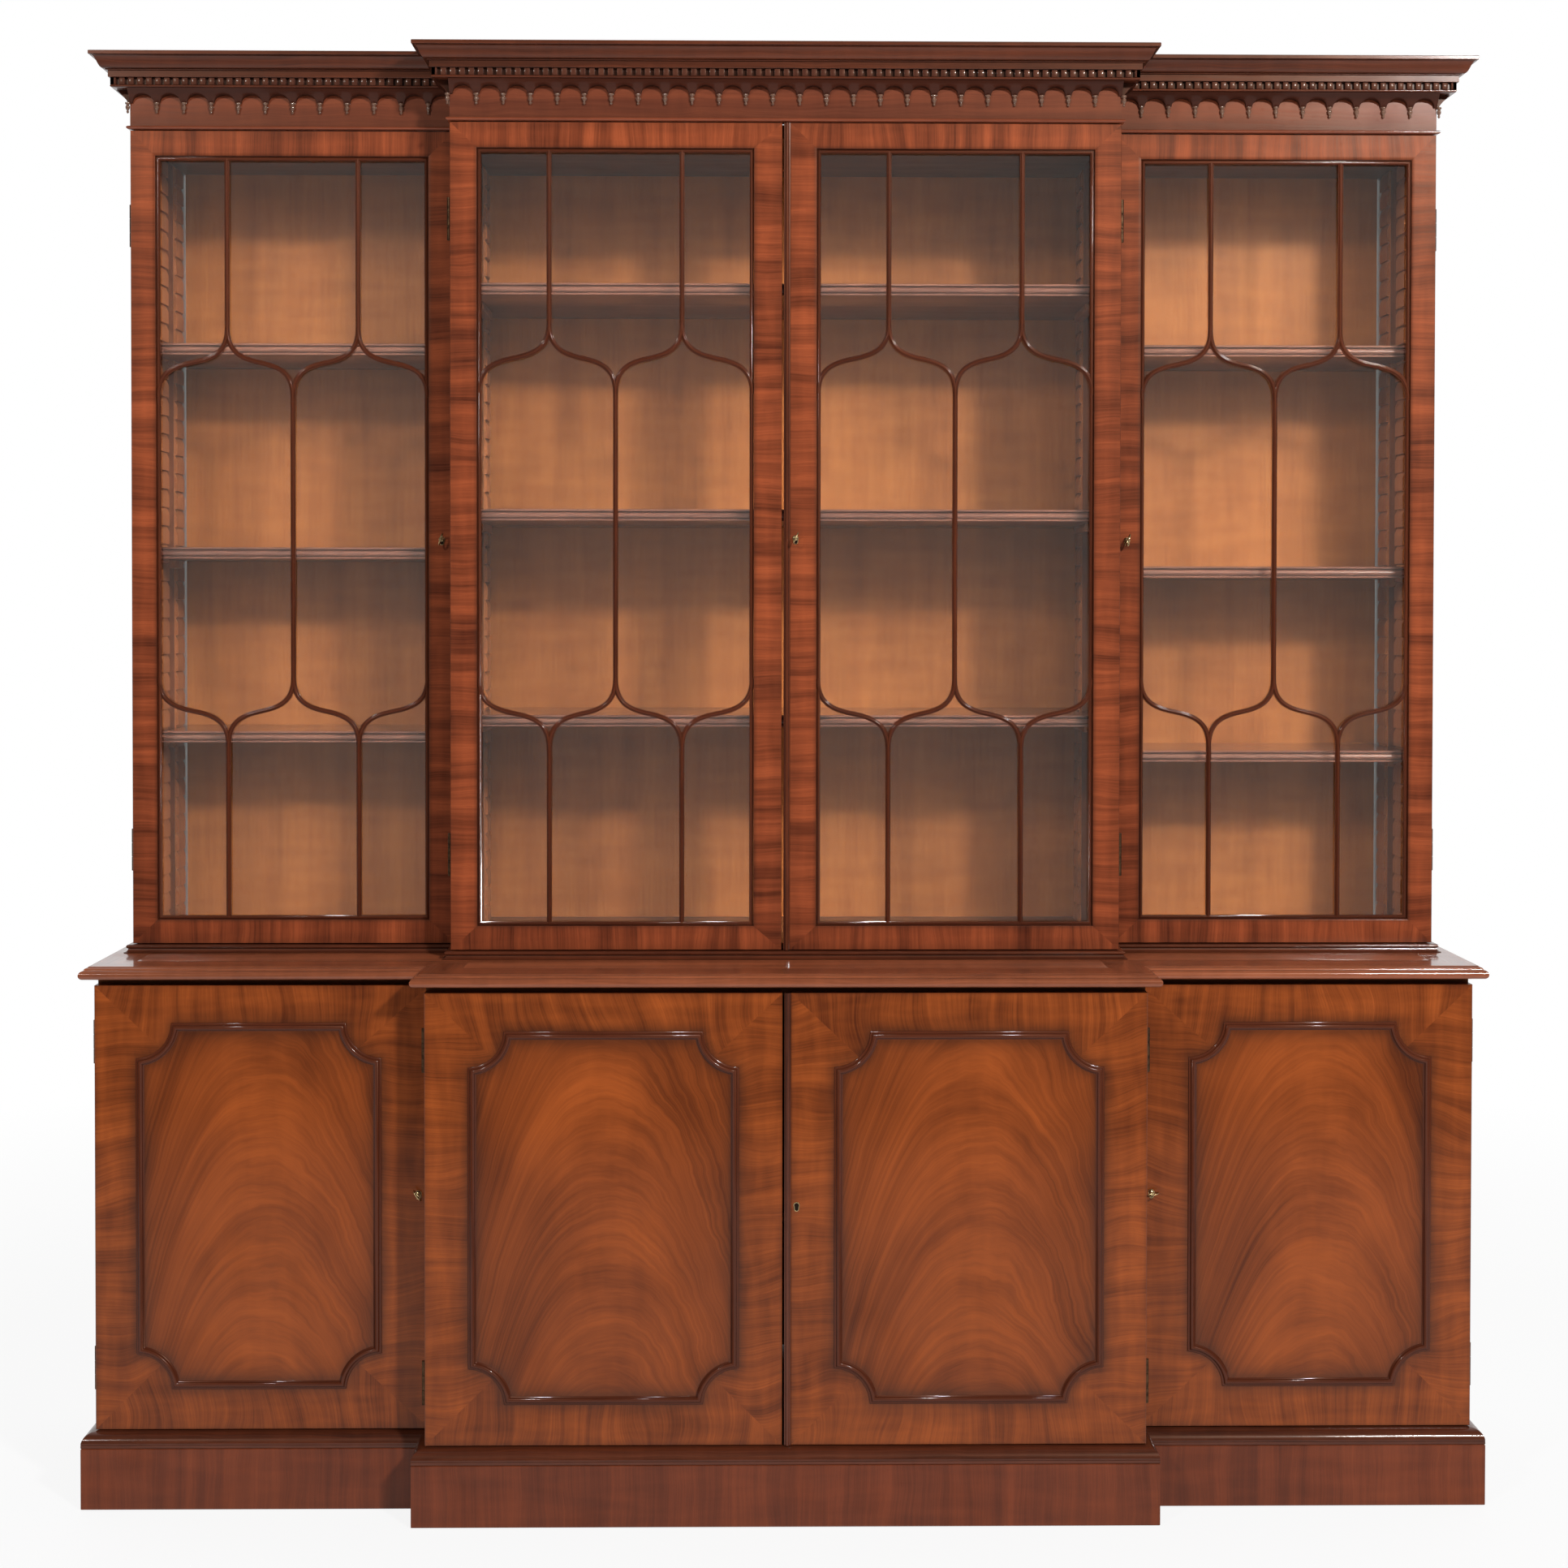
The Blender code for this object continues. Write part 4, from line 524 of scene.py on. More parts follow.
metalLook("agedBrass", "brass", (0.74, 0.56, 0.29), (0.34, 0.24, 0.11), 0.22)
metalLook("hingeBrass", "brass", (0.12, 0.066, 0.034), (0.05, 0.026, 0.015), 0.45)
metalLook("lockSteel", "steel", (0.50, 0.48, 0.45), (0.26, 0.24, 0.22), 0.30)
woodLook("keyholeShadow", "steel", (0.012, 0.008, 0.006), (0.004, 0.003, 0.003), 0.5, 0.3, 0.0)
glassLook()
print("materials made")

cadLooks = {"_back_panel": "backMahogany", "_top_board": "dustBoardMahogany", "upper_bottom_board": "dustBoardMahogany",
            "_glass": "sheetGlass", "_lock_bolt": "lockSteel", "_slide_bolt": "agedBrass"}
for node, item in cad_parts.items():
    for ending, look in cadLooks.items():
        if node.endswith(ending):
            item.data.materials.clear()
            item.data.materials.append(looks[look][0])

# base, waist and upper base moulding

base = {"out": 0.0177, "lip": 0.0045, "backRail": 0.030, "thick": 0.020, "steps": 14, "quirk": 0.002, "soft": 0.0008}


def threeBoards(stage, out, low, high, gap=0.0, ease=plan["ease"]):
    # A centre board and two wing boards whose edges lie out from the stage's faces; negative is behind them.
    edge, wing = stage["front"] - out, stage["front"] - out + plan["step"]
    side, near = stage["half"] + out, stage["centre"] + out
    spans = ((-near, near, edge), (-side, -near - gap, wing), (near + gap, side, wing))
    return [boardBlock((x0, y, low), (x1, backY, high), 0, ease) for x0, x1, y in spans]


def makeBase():
    # The moulding on the plinth: a lip, a quirk and a quarter ellipse that rises back to the face.
    low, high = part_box("lower_bottom_board")
    out, lip, quirk, soft, tall = base["out"], base["lip"], base["quirk"], base["soft"], high.z - low.z
    swell = arcPoints((quirk, lip + soft), (out - quirk, tall - lip - 2 * soft), 0, 90, base["steps"])
    deep = -(base["thick"] + 0.004)
    profile = outlineOf((deep, 0), (out - soft, 0), (out, soft), (out, lip), (out - 0.0006, lip + 0.0006), swell,
                        (0.0, tall - 0.0004), (-quirk, tall), (deep, tall))
    count = len(profile)
    # Painted shade in the quirk above the lip and along the top, where the moulding meets the face.
    paintedShade = np.interp(np.arange(count), [0, 3, 4, 5, count - 4, count], [0, 0, 0.8, 0.15, 0.1, 0.7])
    addPiece("base_moulding", lengthsRound(lowerStage, profile, low.z, paintedShade), "mouldingMahogany", "case",
             "lower_bottom_board")
    addPiece("cupboard_floor", threeBoards(lowerStage, deep - 0.0002, low.z, high.z, plan["touch"]), "insideMahogany",
             "case")


def makePlinth():
    # Mitred front boards with eased edges, a back rail and the bearers between them.
    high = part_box("plinth_frame")[1].z
    out, thick, ease, rail, touch = base["out"], base["thick"], plan["ease"], base["backRail"], plan["touch"]
    profile = outlineOf((out - thick, 0), (out - ease, 0), (out, ease), (out, high - ease), (out - ease, high),
                        (out - thick, high))
    blocks = [(points, faces, grain[:, [1, 0, 2]], paintedShade)    # veneered crosswise
              for points, faces, grain, paintedShade in lengthsRound(lowerStage, profile, 0.0)]
    side = lowerStage["half"] + out - thick - touch
    blocks.append(boardBlock((-side, backY - rail, 0), (side, backY, high), 0))
    front = lowerStage["front"] - out + thick + touch
    near, quirk = lowerStage["centre"] - touch, base["quirk"]
    for x0, x1, y in ((-near, -near + rail - quirk, front + quirk), (-rail / 2, rail / 2, front),
                      (near - rail + quirk, near, front + quirk)):
        blocks.append(boardBlock((x0, y, 0), (x1, backY - rail - touch, high), 1))
    addPiece("plinth", blocks, "plinthMahogany", "case", "plinth_frame")


waist = {"nose": 0.0065, "out": 0.0189, "flat": 0.0070, "fillet": 0.0045, "steps": 12, "soft": 0.0008, "edge": 0.05,
         "boardEase": 0.0001}


def makeWaist():
    # The edge of the waist top: a half-round nose, and a quarter ellipse above it back to a flat.
    low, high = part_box("waist_top")
    tall, nose, out, flat, edge = high.z - low.z, waist["nose"], waist["out"], waist["flat"], waist["edge"]
    tip = out - nose
    curve = arcPoints((tip, nose), (nose, nose), -90, 80, waist["steps"])
    slope = arcPoints((flat + waist["soft"], 2 * nose + 0.0003),
                      (tip - flat - waist["soft"], tall - waist["fillet"] * 0.45 - 2 * nose), 0, 88, 8)
    profile = outlineOf((-edge, 0), curve, (tip, 2 * nose + 0.0001), slope, (flat, tall - 0.0012),
                        (flat - 0.0006, tall), (-edge, tall))
    # Painted shade in the crease above the nose and at the fillet at the top of the slope.
    paintedShade = paintedShadeOn(profile, [(waist["steps"] + 2, 0.7), (-3, 0.5)])
    addPiece("waist_edge", lengthsRound(lowerStage, profile, low.z, paintedShade), "waistMahogany", "case", "waist_top")
    addPiece("waist_board", threeBoards(lowerStage, -edge, low.z, high.z, ease=waist["boardEase"]), "waistMahogany",
             "case")


upperBase = {"out": 0.0118, "hollowOut": 0.0060, "beadOut": 0.0058, "deep": -0.02, "steps": 10}


def makeUpperBase():
    # The upper stage's foot: a hollow of a quarter ellipse under a half-round bead, both in shares of the height.
    low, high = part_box("upper_base_moulding")
    tall, out, deep = high.z - low.z, upperBase["out"], upperBase["deep"]
    hollow = arcPoints((out, tall * 0.52), (upperBase["hollowOut"], tall * 0.46), 268, 182, upperBase["steps"])
    bead = arcPoints((upperBase["beadOut"], tall * 0.76), (tall * 0.235, tall * 0.235), -88, 92, upperBase["steps"])
    profile = outlineOf((deep, 0), (out - 0.0004, 0), (out, 0.0004), hollow, bead, (deep, tall))
    # Painted shade in the crease where the hollow meets the bead.
    paintedShade = paintedShadeOn(profile, [([12, 13, 14], 0.7)])
    addPiece("upper_stage_foot", lengthsRound(upperStage, profile, low.z, paintedShade), "mouldingMahogany", "case",
             "upper_base_moulding")


makeBase()
makePlinth()
makeWaist()
makeUpperBase()
print("base and waist made")

# frieze and cornice

frieze = {"thick": 0.020, "high": 0.1060, "neckHigh": 0.0056, "neckOut": 0.0052, "foot": 0.0395, "crown": 0.0515,
          "coveTop": 0.0588, "coveOut": 0.0205, "coveFoot": 0.0030, "covePower": 1.35, "pitch": 0.0398,
          "halfFoot": 0.0046, "dropTip": 0.0235, "dropSeat": 0.0029, "archBack": 0.0002, "archLip": 0.0006}


def coveOut(height):
    # The cove leans out between two reaches, as the share of its height to a power a little over one.
    share = np.clip((height - frieze["foot"]) / (frieze["coveTop"] - frieze["foot"]), 0, 1)
    return frieze["coveFoot"] + (frieze["coveOut"] - frieze["coveFoot"]) * share ** frieze["covePower"]


def archBlock(middle, along, out, pitch):
    # One arch: rays from the springing's middle meet the elliptical arch and then the edge of the arch's cell.
    reach = pitch / 2
    rise, top = frieze["crown"] - frieze["foot"], frieze["coveTop"] - frieze["foot"]
    corner = math.atan2(top, reach)
    angle = np.sort(np.concatenate([np.linspace(0, np.pi, 15), [corner, np.pi - corner]]))
    c, s = np.cos(angle), np.sin(angle)
    archRay = 1 / np.sqrt((c / (reach - frieze["halfFoot"])) ** 2 + (s / rise) ** 2)
    edgeRay = np.minimum(reach / np.maximum(np.abs(c), 1e-6), top / np.maximum(s, 1e-6))
    ray = archRay[:, None] + (edgeRay - archRay)[:, None] * np.array([0.0, 0.09, 0.4, 0.75, 1.0])
    x, z = ray * c[:, None], frieze["foot"] + ray * s[:, None]
    y = coveOut(z)
    y[:, 0] -= frieze["archLip"]
    x, z = (np.concatenate([v, v[:, -1:], v[:, :1]], 1) for v in (x, z))
    y = np.concatenate([y, np.full((len(angle), 2), frieze["archBack"])], 1)
    flat = middle + x[:, :, None] * along + y[:, :, None] * out
    grain = np.stack([flat @ along, z + y, y], -1) + 3.7
    # Painted shade along the arch's lip and on its back face against the frieze.
    return ringBlock(ringsOf(flat, 2, z + neckZ), grain, paintedShadeOn(x[0], [(0, 0.5), ([-2, -1], 0.9)]))


dropShares = [(0, 1.02), (0.0038, 1.02), (0.0040, 0.94), (0.0038, 0.87), (0.0024, 0.83), (0.0020, 0.78),
              (0.0028, 0.72), (0.0034, 0.62), (0.0033, 0.50), (0.0025, 0.38), (0.0016, 0.31), (0.0013, 0.27),
              (0.0018, 0.21), (0.0020, 0.13), (0.0015, 0.05), (0.0006, 0.0), (0, 0.0)]


def dropProfile():
    # From the top down a collar, a pear-shaped drop, a waist and a small ball: radius, and share of the height.
    high = frieze["foot"] - frieze["dropTip"]
    return np.array([(radius, frieze["dropTip"] + share * high) for radius, share in dropShares])


def makeFrieze():
    # A flat board with a half-round neck; arches evenly spaced along each run, and a drop where two arches meet.
    neck = halfRound(frieze["neckOut"], 0, frieze["neckHigh"], frieze["neckOut"], 10)
    profile = outlineOf((-frieze["thick"], 0), neck, (0.0, frieze["coveTop"] + 0.004), (0.0, frieze["high"]),
                        (-frieze["thick"], frieze["high"]))
    # Painted shade on the face behind the arcade, strongest at the top of its cove.
    paintedShade = paintedShadeOn(profile, [(len(neck), 0.6)])
    addPiece("frieze", lengthsRound(upperStage, profile, neckZ, paintedShade), "friezeMahogany", "case", "frieze_board")
    arches = []
    corners, mitres = cornersOf(upperStage)
    spots = [corners[k] + mitres[k] * frieze["dropSeat"] for k in range(1, 7)]
    for start, along, out, long, _, _ in runsOf(upperStage):
        count = round(long / frieze["pitch"])
        pitch = long / count
        arches += [archBlock(start + along * pitch * (i + 0.5), along, out, pitch) for i in range(count)]
        spots += [start + along * pitch * i + out * frieze["dropSeat"] for i in range(1, count)]
    profile = dropProfile()
    drops = [turnedBlock(profile, (spot[0], spot[1], neckZ), 12) for spot in spots]
    addPiece("arcade", arches, "arcadeMahogany", "case")
    addPiece("pendants", drops, "pendantMahogany", "case", sharp=60)


cornice = {"foot": 0.0592, "filletHigh": 0.0031, "filletOut": 0.0240, "faceOut": 0.0237, "deep": 0.0053,
           "dentilTop": 0.0733, "pitch": 0.0135, "face": 0.0081, "coronaTop": 0.0832, "coronaOut": 0.0265,
           "beadHigh": 0.0016, "beadOut": 0.0300, "cymaFoot": 0.0325, "cymaOut": 0.0470, "cymaTop": 0.1020,
           "cymaSwing": 0.13, "out": 0.0500, "behind": 0.0004, "soft": 0.0008}


def makeCornice():
    # Fillet, recess, corona, bead and cyma; the cyma's height is t less a sine of t, hollow above, swelling below.
    c = cornice
    total, soft, behind = cadHigh.z - neckZ, c["soft"], c["behind"]
    beadTop, filletTop = c["coronaTop"] + c["beadHigh"], c["foot"] + c["filletHigh"]
    t = np.linspace(0, 1, 15)
    rise = t - c["cymaSwing"] * np.sin(2 * np.pi * t)
    cyma = np.stack([c["cymaFoot"] + (c["cymaOut"] - c["cymaFoot"]) * t, beadTop + (c["cymaTop"] - beadTop) * rise], -1)
    recess = c["faceOut"] - c["deep"]
    foot = halfRound(c["filletOut"], c["foot"], c["filletHigh"], 0.0012, 5)
    bead = halfRound(c["beadOut"], c["coronaTop"], c["beadHigh"], 0.0009, 5)
    profile = outlineOf((behind, c["foot"]), foot, (recess, filletTop), (recess, c["dentilTop"]),
                        (c["coronaOut"] - 0.0005, c["dentilTop"]), (c["coronaOut"], c["dentilTop"] + 0.0005),
                        (c["coronaOut"], c["coronaTop"] - 0.0002), bead, (c["cymaFoot"] - 0.001, beadTop), cyma,
                        (c["cymaOut"], c["cymaTop"] + 0.0003), (c["out"] - 0.0006, c["cymaTop"] + 0.0003),
                        (c["out"], c["cymaTop"] + 0.0009), (c["out"], total - soft), (c["out"] - soft, total),
                        (behind, total))
    # Painted shade in the recess behind the dentils, under the bead and in the crease at the top of the cyma.
    paintedShade = paintedShadeOn(profile, [([7, 8], 1.0), ([11, 12], 0.4), ([-7, -6], 0.6)])
    addPiece("cornice", lengthsRound(upperStage, profile, neckZ, paintedShade), "mouldingMahogany", "case", "cornice_moulding")
    blocks = []
    low, high = neckZ + filletTop + 0.0002, neckZ + c["dentilTop"] - 0.0002
    for start, along, out, long, first, last in runsOf(upperStage):
        near = first @ along * c["faceOut"]
        span = long + last @ along * c["faceOut"] - near
        count = round((span - c["face"]) / c["pitch"])
        for i in range(count + 1):
            at = near + (span - c["face"]) / count * i
            a = start + along * at + out * (recess - 0.0003)
            b = start + along * (at + c["face"]) + out * c["faceOut"]
            blocks.append(boardBlock((*a, low), (*b, high), 2, plan["fineEase"], chance.uniform(-1, 1, 3)))
    addPiece("dentils", blocks, "dentilMahogany", "case")


makeFrieze()
makeCornice()
print("cornice made")

# uprights, shelf rests and shelves

rests = {"battenThick": 0.006, "battenWide": 0.047, "inset": 0.040, "notch": 0.028, "notchDeep": 0.0042,
         "notchSlope": 0.009, "endGap": 0.002, "cleatReach": 0.014, "cleatHigh": 0.012, "shelfSetback": 0.015,
         "lowerSetback": 0.044, "off": 0.0002}


def baysOf(stage):
    # Left wall, right wall and front edge of the three bays.
    end, inner = stage["half"] - plan["wall"], stage["centre"] - plan["wall"]
    edge = stage["front"] + plan["boardInset"]
    wing = edge + plan["step"]
    return {"left": (-end, -stage["centre"], wing), "centre": (-inner, inner, edge),
            "right": (stage["centre"], end, wing)}


def battenBlock(wall, way, near):
    # A saw-toothed strip: each notch cuts in level from the face and slopes back out below.
    foot, head = upperStage["floor"] + rests["endGap"], upperStage["ceiling"] - rests["endGap"]
    count = int((head - foot) / rests["notch"])
    levels = foot + (head - foot) * np.arange(count + 1) / count
    deep, gap = rests["battenThick"], plan["touch"]
    teeth = [point for z, above in zip(levels, levels[1:]) for point in (
        (deep, z + gap), (deep, above - rests["notchSlope"]), (deep - rests["notchDeep"], above - gap))]
    outline = outlineOf((0, foot), teeth, (0, head)) * [way, 1] + [wall, 0]
    rings = ringsOf(outline, 1, [[near], [near + rests["battenWide"]]])
    return ringBlock(rings, rings[:, :, [2, 1, 0]] + elsewhere())


boltPocket = {"reach": 0.011, "clear": 0.0012, "lip": 0.0003}


def pocketBlock(one, other, sign, bolt):
    # A board's rings, upright, with four more points on the outer side: x = face - sign * depth where the bolt enters.
    low, high = np.minimum(one, other), np.maximum(one, other)
    ease, lip, clear = plan["ease"], boltPocket["lip"], boltPocket["clear"]
    start, end = bolt
    face, tip = (low[0], end.x) if sign < 0 else (high[0], start.x)
    under, top = start.z - clear, end.z + clear
    stations, inset = easedEnds(low[2], high[2], ease)
    stations = np.insert(stations, 3, [under, under + lip, top - lip, top])
    inset = np.insert(inset, 3, [0.0] * 4)
    depth = np.where((stations > under) & (stations < top), sign * (face - tip) + boltPocket["reach"], 0.0)
    middle, half = (low + high)[:2] / 2, (high - low)[:2] / 2
    flat = np.zeros((len(stations), 16, 2))
    flat[:, :12] = roundedRings(half, inset, ease) * [sign, 1]
    flat[:, 12:, 0] = sign * (half[0] - inset[:, None])
    flat[:, 13:15, 0] -= sign * depth[:, None]
    near, far = start.y - clear - middle[1], end.y + clear - middle[1]
    flat[:, 12:, 1] = near, near + lip, far - lip, far
    rings = ringsOf(flat + middle, 2, stations[:, None])
    return ringBlock(rings, rings[:, :, [2, 1, 0]] + elsewhere())


def makeUprights():
    # Sides and partitions as eased boards, and on the walls of each bay upright battens and level cleats.
    for name, stage in stages.items():
        bays = baysOf(stage)
        for side, sign in sides:
            for kind, reach, bay, back in (("side", stage["half"], side, backY),
                                           ("partition", stage["centre"], "centre", backPanelY - plan["touch"])):
                node = f"{name}_{side}_{kind}"
                low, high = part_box(node)
                ends = (sign * reach, bays[bay][2], low.z), (sign * (reach - plan["wall"]), back, high.z)
                if kind == "side":
                    block = boardBlock(*ends, 2)
                else:
                    block = pocketBlock(*ends, sign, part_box(f"{name}_{side}_wing_door_lock_bolt"))
                addPiece(node + "_board", [block], "caseMahogany", "case", node)
    battens, cleats = [], []
    for name, levels in (("upper", ("bottom_", "middle_", "top_")), ("lower", ("",))):
        for bay, (left, right, edge) in baysOf(stages[name]).items():
            front = edge + rests["shelfSetback"] + rests["inset"]
            rear = backPanelY - rests["inset"] - rests["battenWide"]
            ends = front + rests["battenWide"], rear
            if name == "lower":
                ends = edge + rests["lowerSetback"], backPanelY - rests["inset"]
            for wall, way in ((left, 1), (right, -1)):
                if name == "upper":
                    battens += [battenBlock(wall, way, near) for near in (front, rear)]
                for level in levels:
                    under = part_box(f"{name}_{bay}_{level}shelf")[0].z - plan["touch"]
                    cleats.append(boardBlock((wall + way * rests["off"], ends[0], under - rests["cleatHigh"]),
                                             (wall + way * rests["cleatReach"], ends[1], under), 1))
    addPiece("notched_battens", battens, "insideMahogany", "case")
    addPiece("shelf_cleats", cleats, "insideMahogany", "case")


def makeShelves():
    # A board whose front edge is a thin lip, a half-round bead and a thin fillet below it, in shares of its thickness.
    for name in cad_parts:
        if not name.endswith("_shelf"):
            continue
        low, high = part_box(name)
        thick, deep = high.z - low.z, high.y - low.y
        bead = arcPoints((0.0034, thick * 0.47), (0.0032, thick * 0.24), 90, 270, 10)
        outline = outlineOf((deep, thick), (0.0010, thick), (0.0002, thick - 0.0008), (0.0002, thick * 0.84),
                            (0.0010, thick * 0.80), (0.0034, thick * 0.73), bead, (0.0034, thick * 0.21),
                            (0.0022, thick * 0.15), (0.0022, 0.0006), (0.0030, 0.0), (deep, 0.0))
        rings = ringsOf(outline + [low.y, low.z], 0, [[low.x], [high.x]])
        # Painted shade in the creases above and below the bead.
        block = ringBlock(rings, rings + elsewhere(), paintedShadeOn(outline, [([4, 5, 16, 17], 0.7)]))
        # Upper shelves take the mahogany with painted sheen.
        look = "shelfMahoganyAndSheen" if name.startswith("upper") else "insideMahogany"
        addPiece(name + "_board", [block], look, "case", name)


makeUprights()
makeShelves()
print("uprights and shelves made")

# doors

doorSizes = {"thick": 0.021, "soft": 0.0008, "wingGap": 0.003, "wingStiles": (0.0370, 0.0385),
             "wingMargins": (0.0600, 0.0692), "centreMargins": (0.0620, 0.0620), "topRail": 0.0378,
             "bottomRail": 0.0356, "upperWingLock": 0.0186, "lowerWingLock": 0.0155, "upperLockZ": 1.4125,
             "lowerLockZ": 0.4560, "beadOut": 0.0035,
             "left": {"free": -0.0058, "bead": 0.0, "stiles": (0.0395, 0.0418), "backset": None},
             "right": {"free": -0.0030, "bead": 0.0093, "stiles": (0.0395, 0.0392), "backset": 0.0175}}


def doorTable():
    # Sign is the side of the hinge; stiles and margins are given at the hinge and at the free edge.
    d, rows = doorSizes, []
    for name, stage in stages.items():
        both = {"stage": stage, "upper": name == "upper", "lockZ": d[name + "LockZ"]}
        rows += [both | {"name": f"{name}_{side}_wing_door", "sign": sign, "face": stage["front"] + plan["step"],
                         "hinge": sign * stage["half"], "free": sign * (stage["centre"] + d["wingGap"]), "bead": 0.0,
                         "stiles": d["wingStiles"], "margins": d["wingMargins"], "backset": d[name + "WingLock"]}
                 for side, sign in sides]
        rows += [both | {"name": f"{name}_{side}_centre_door", "sign": sign, "face": stage["front"],
                         "hinge": sign * stage["centre"], "margins": d["centreMargins"]} | d[side]
                 for side, sign in sides]
    return rows


doors = doorTable()


def memberBlocks(outer, inner, profile, steps, paintedShadeAt):
    # Four mitred members of a frame: each profile point (share, y) lies between the outer and the inner rectangle.
    near, far = (np.array(box)[[[0, 1], [2, 1], [2, 3], [0, 3]]] for box in (outer, inner))
    profile = np.asarray(profile, float)
    lines = near[:, None] + (far - near)[:, None] * profile[:, :1]
    t = np.linspace(0, 1, steps + 1)[:, None, None]
    blocks = []
    for k in range(4):
        n = (k + 1) % 4
        flat = lines[k] + (lines[n] - lines[k]) * t
        rings = ringsOf(flat, 1, profile[:, 1])
        way = (near[n] - near[k]) / np.linalg.norm(near[n] - near[k])
        grain = np.stack([flat @ [-way[1], way[0]], flat @ way, rings[:, :, 1]], -1) + elsewhere()
        # The given function sets painted shade per point.
        blocks.append(ringBlock(rings, grain, paintedShadeAt(flat, profile[:, 0])))
    return blocks


def rectangleOf(door, margins=(0, 0), bottom=0, top=0):
    # A rectangle on a door, drawn in from the hinge edge, from the free edge or its bead, and from below and above.
    stage, sign = door["stage"], door["sign"]
    ends = sorted((door["hinge"] - sign * margins[0], door["free"] + sign * (door["bead"] + margins[1])))
    return ends[0], stage["low"] + bottom, ends[1], stage["high"] - top


def openingOf(door):
    return rectangleOf(door, door["stiles"], doorSizes["bottomRail"], doorSizes["topRail"])


def addMeetingBead(door):
    # The half-round bead that covers the joint of a pair of doors, part of the right one.
    if not door["bead"]:
        return
    stage, half = door["stage"], door["bead"] / 2
    middle = door["free"] + half
    curve = arcPoints((0.0, 0.0), (half - 0.0018, doorSizes["beadOut"]), 180, 0, 12)
    profile = outlineOf((-half, -0.006), (-half, -0.0004), curve, (half, -0.0004), (half, -0.006))
    block = barBlock([(middle, stage["low"]), (middle, stage["high"])], profile, door["face"])
    addPiece(door["name"] + "_meeting_bead", [block], "mouldingMahogany", door["name"])


def makeUpperFrame(door):
    # A mitred frame, flat at the face and eased towards both edges; painted shade darkens it towards its outer and
    # inner edges.
    name, face = door["name"], door["face"]
    back = face + doorSizes["thick"]
    profile = [(0.0, back), (0.0, face + doorSizes["soft"]), (0.018, face), (0.55, face), (0.86, face), (0.975, face),
               (0.99, face + 0.0003), (1.0, face + 0.0010), (1.0, back)]

    # Painted shade along the frame's outer and inner edges.
    def shade(flat, share):
        return np.interp(share, [0, 0.02, 0.08, 0.7, 0.92, 1.0], [0.5, 0.25, 0.0, 0.0, 0.12, 0.75])

    blocks = memberBlocks(rectangleOf(door), openingOf(door), profile, 1, shade)
    addPiece(name + "_rails_and_stiles", blocks, "crossbandedMahogany", name, name + "_frame")
    addMeetingBead(door)


bars = {"half": 0.0040, "border": 0.0062, "sink": 0.0020, "share": 0.26, "ogeeHigh": 0.1040, "upperDrop": 0.303,
        "lowerRise": 0.309, "pull": 0.70, "turn": (0.40, 0.88), "steps": 12, "deep": -0.0040, "round": (0.0023, 0.0022),
        "rimBead": 0.0032, "rimRound": 0.0020}


def ogeePath(x, startZ, endX, drop):
    # Two cubic half sweeps: straight down at first, turning outward to the middle, and the same turned end for end.
    t = np.linspace(0, 1, bars["steps"] + 1)
    wide, high = (endX - x) / 2, drop / 2
    across = wide * (3 * t ** 2 * (1 - t) * bars["turn"][0] + t ** 3)
    down = high * (3 * t * (1 - t) ** 2 * bars["pull"] + 3 * t ** 2 * (1 - t) * bars["turn"][1] + t ** 3)
    first = np.stack([across, -down], -1)
    second = np.array([2 * wide, -drop]) - first[::-1]
    return np.concatenate([first, second[1:]]) + [x, startZ]


def makeBars(door):
    # An astragal, a half ellipse between two fillets, carried along straight and ogee paths, and a beaded rim.
    name, deep, border = door["name"], bars["deep"], bars["border"]
    left, low, right, high = openingOf(door)
    plane = door["face"] + bars["sink"] + bars["round"][1]        # where the side fillets lie
    curve = arcPoints((0, 0), bars["round"], 180, 0, 8)
    section = outlineOf((-0.0036, deep), (-0.0036, -0.0004), (-0.0031, 0.0), curve, (0.0031, 0.0), (0.0036, -0.0004),
                        (0.0036, deep))
    rim, wide, tall = border - bars["half"], right - left, bars["ogeeHigh"]
    lines = [left + rim, left + wide * bars["share"], (left + right) / 2, right - wide * bars["share"], right - rim]
    topZ = high - border - bars["upperDrop"] + tall / 2
    footZ = low + border + bars["lowerRise"] - tall / 2
    paths = []
    for line in (1, 3):
        x = lines[line]
        paths += [[(x, high - border / 2), (x, topZ)], [(x, low + border / 2), (x, footZ)]]
        for end in (lines[line - 1], lines[line + 1]):
            paths += [ogeePath(x, topZ, end, tall), ogeePath(x, footZ, end, -tall)]
    paths.append([(lines[2], topZ - tall), (lines[2], footZ + tall)])
    blocks = [barBlock(path, section, plane) for path in paths]
    middle, radius, gap = bars["rimBead"], bars["rimRound"], plan["touch"]
    rimSection = outlineOf((0, deep), (0, 0.0), (middle - radius - 0.0001, 0.0002),
                           arcPoints((middle, 0.0), (radius, radius), 180, 0, 8), (middle + radius + 0.0001, 0.0002),
                           (border - gap, -0.0002), (border - gap, deep))
    outline = [(left + gap, low + gap), (right - gap, low + gap), (right - gap, high - gap), (left + gap, high - gap)]
    blocks.append(barBlock(outline, rimSection, plane, closed=True))
    addPiece(name + "_astragals", blocks, "panelBeadMahogany", name, name + "_glazing_bars", sharp=50)


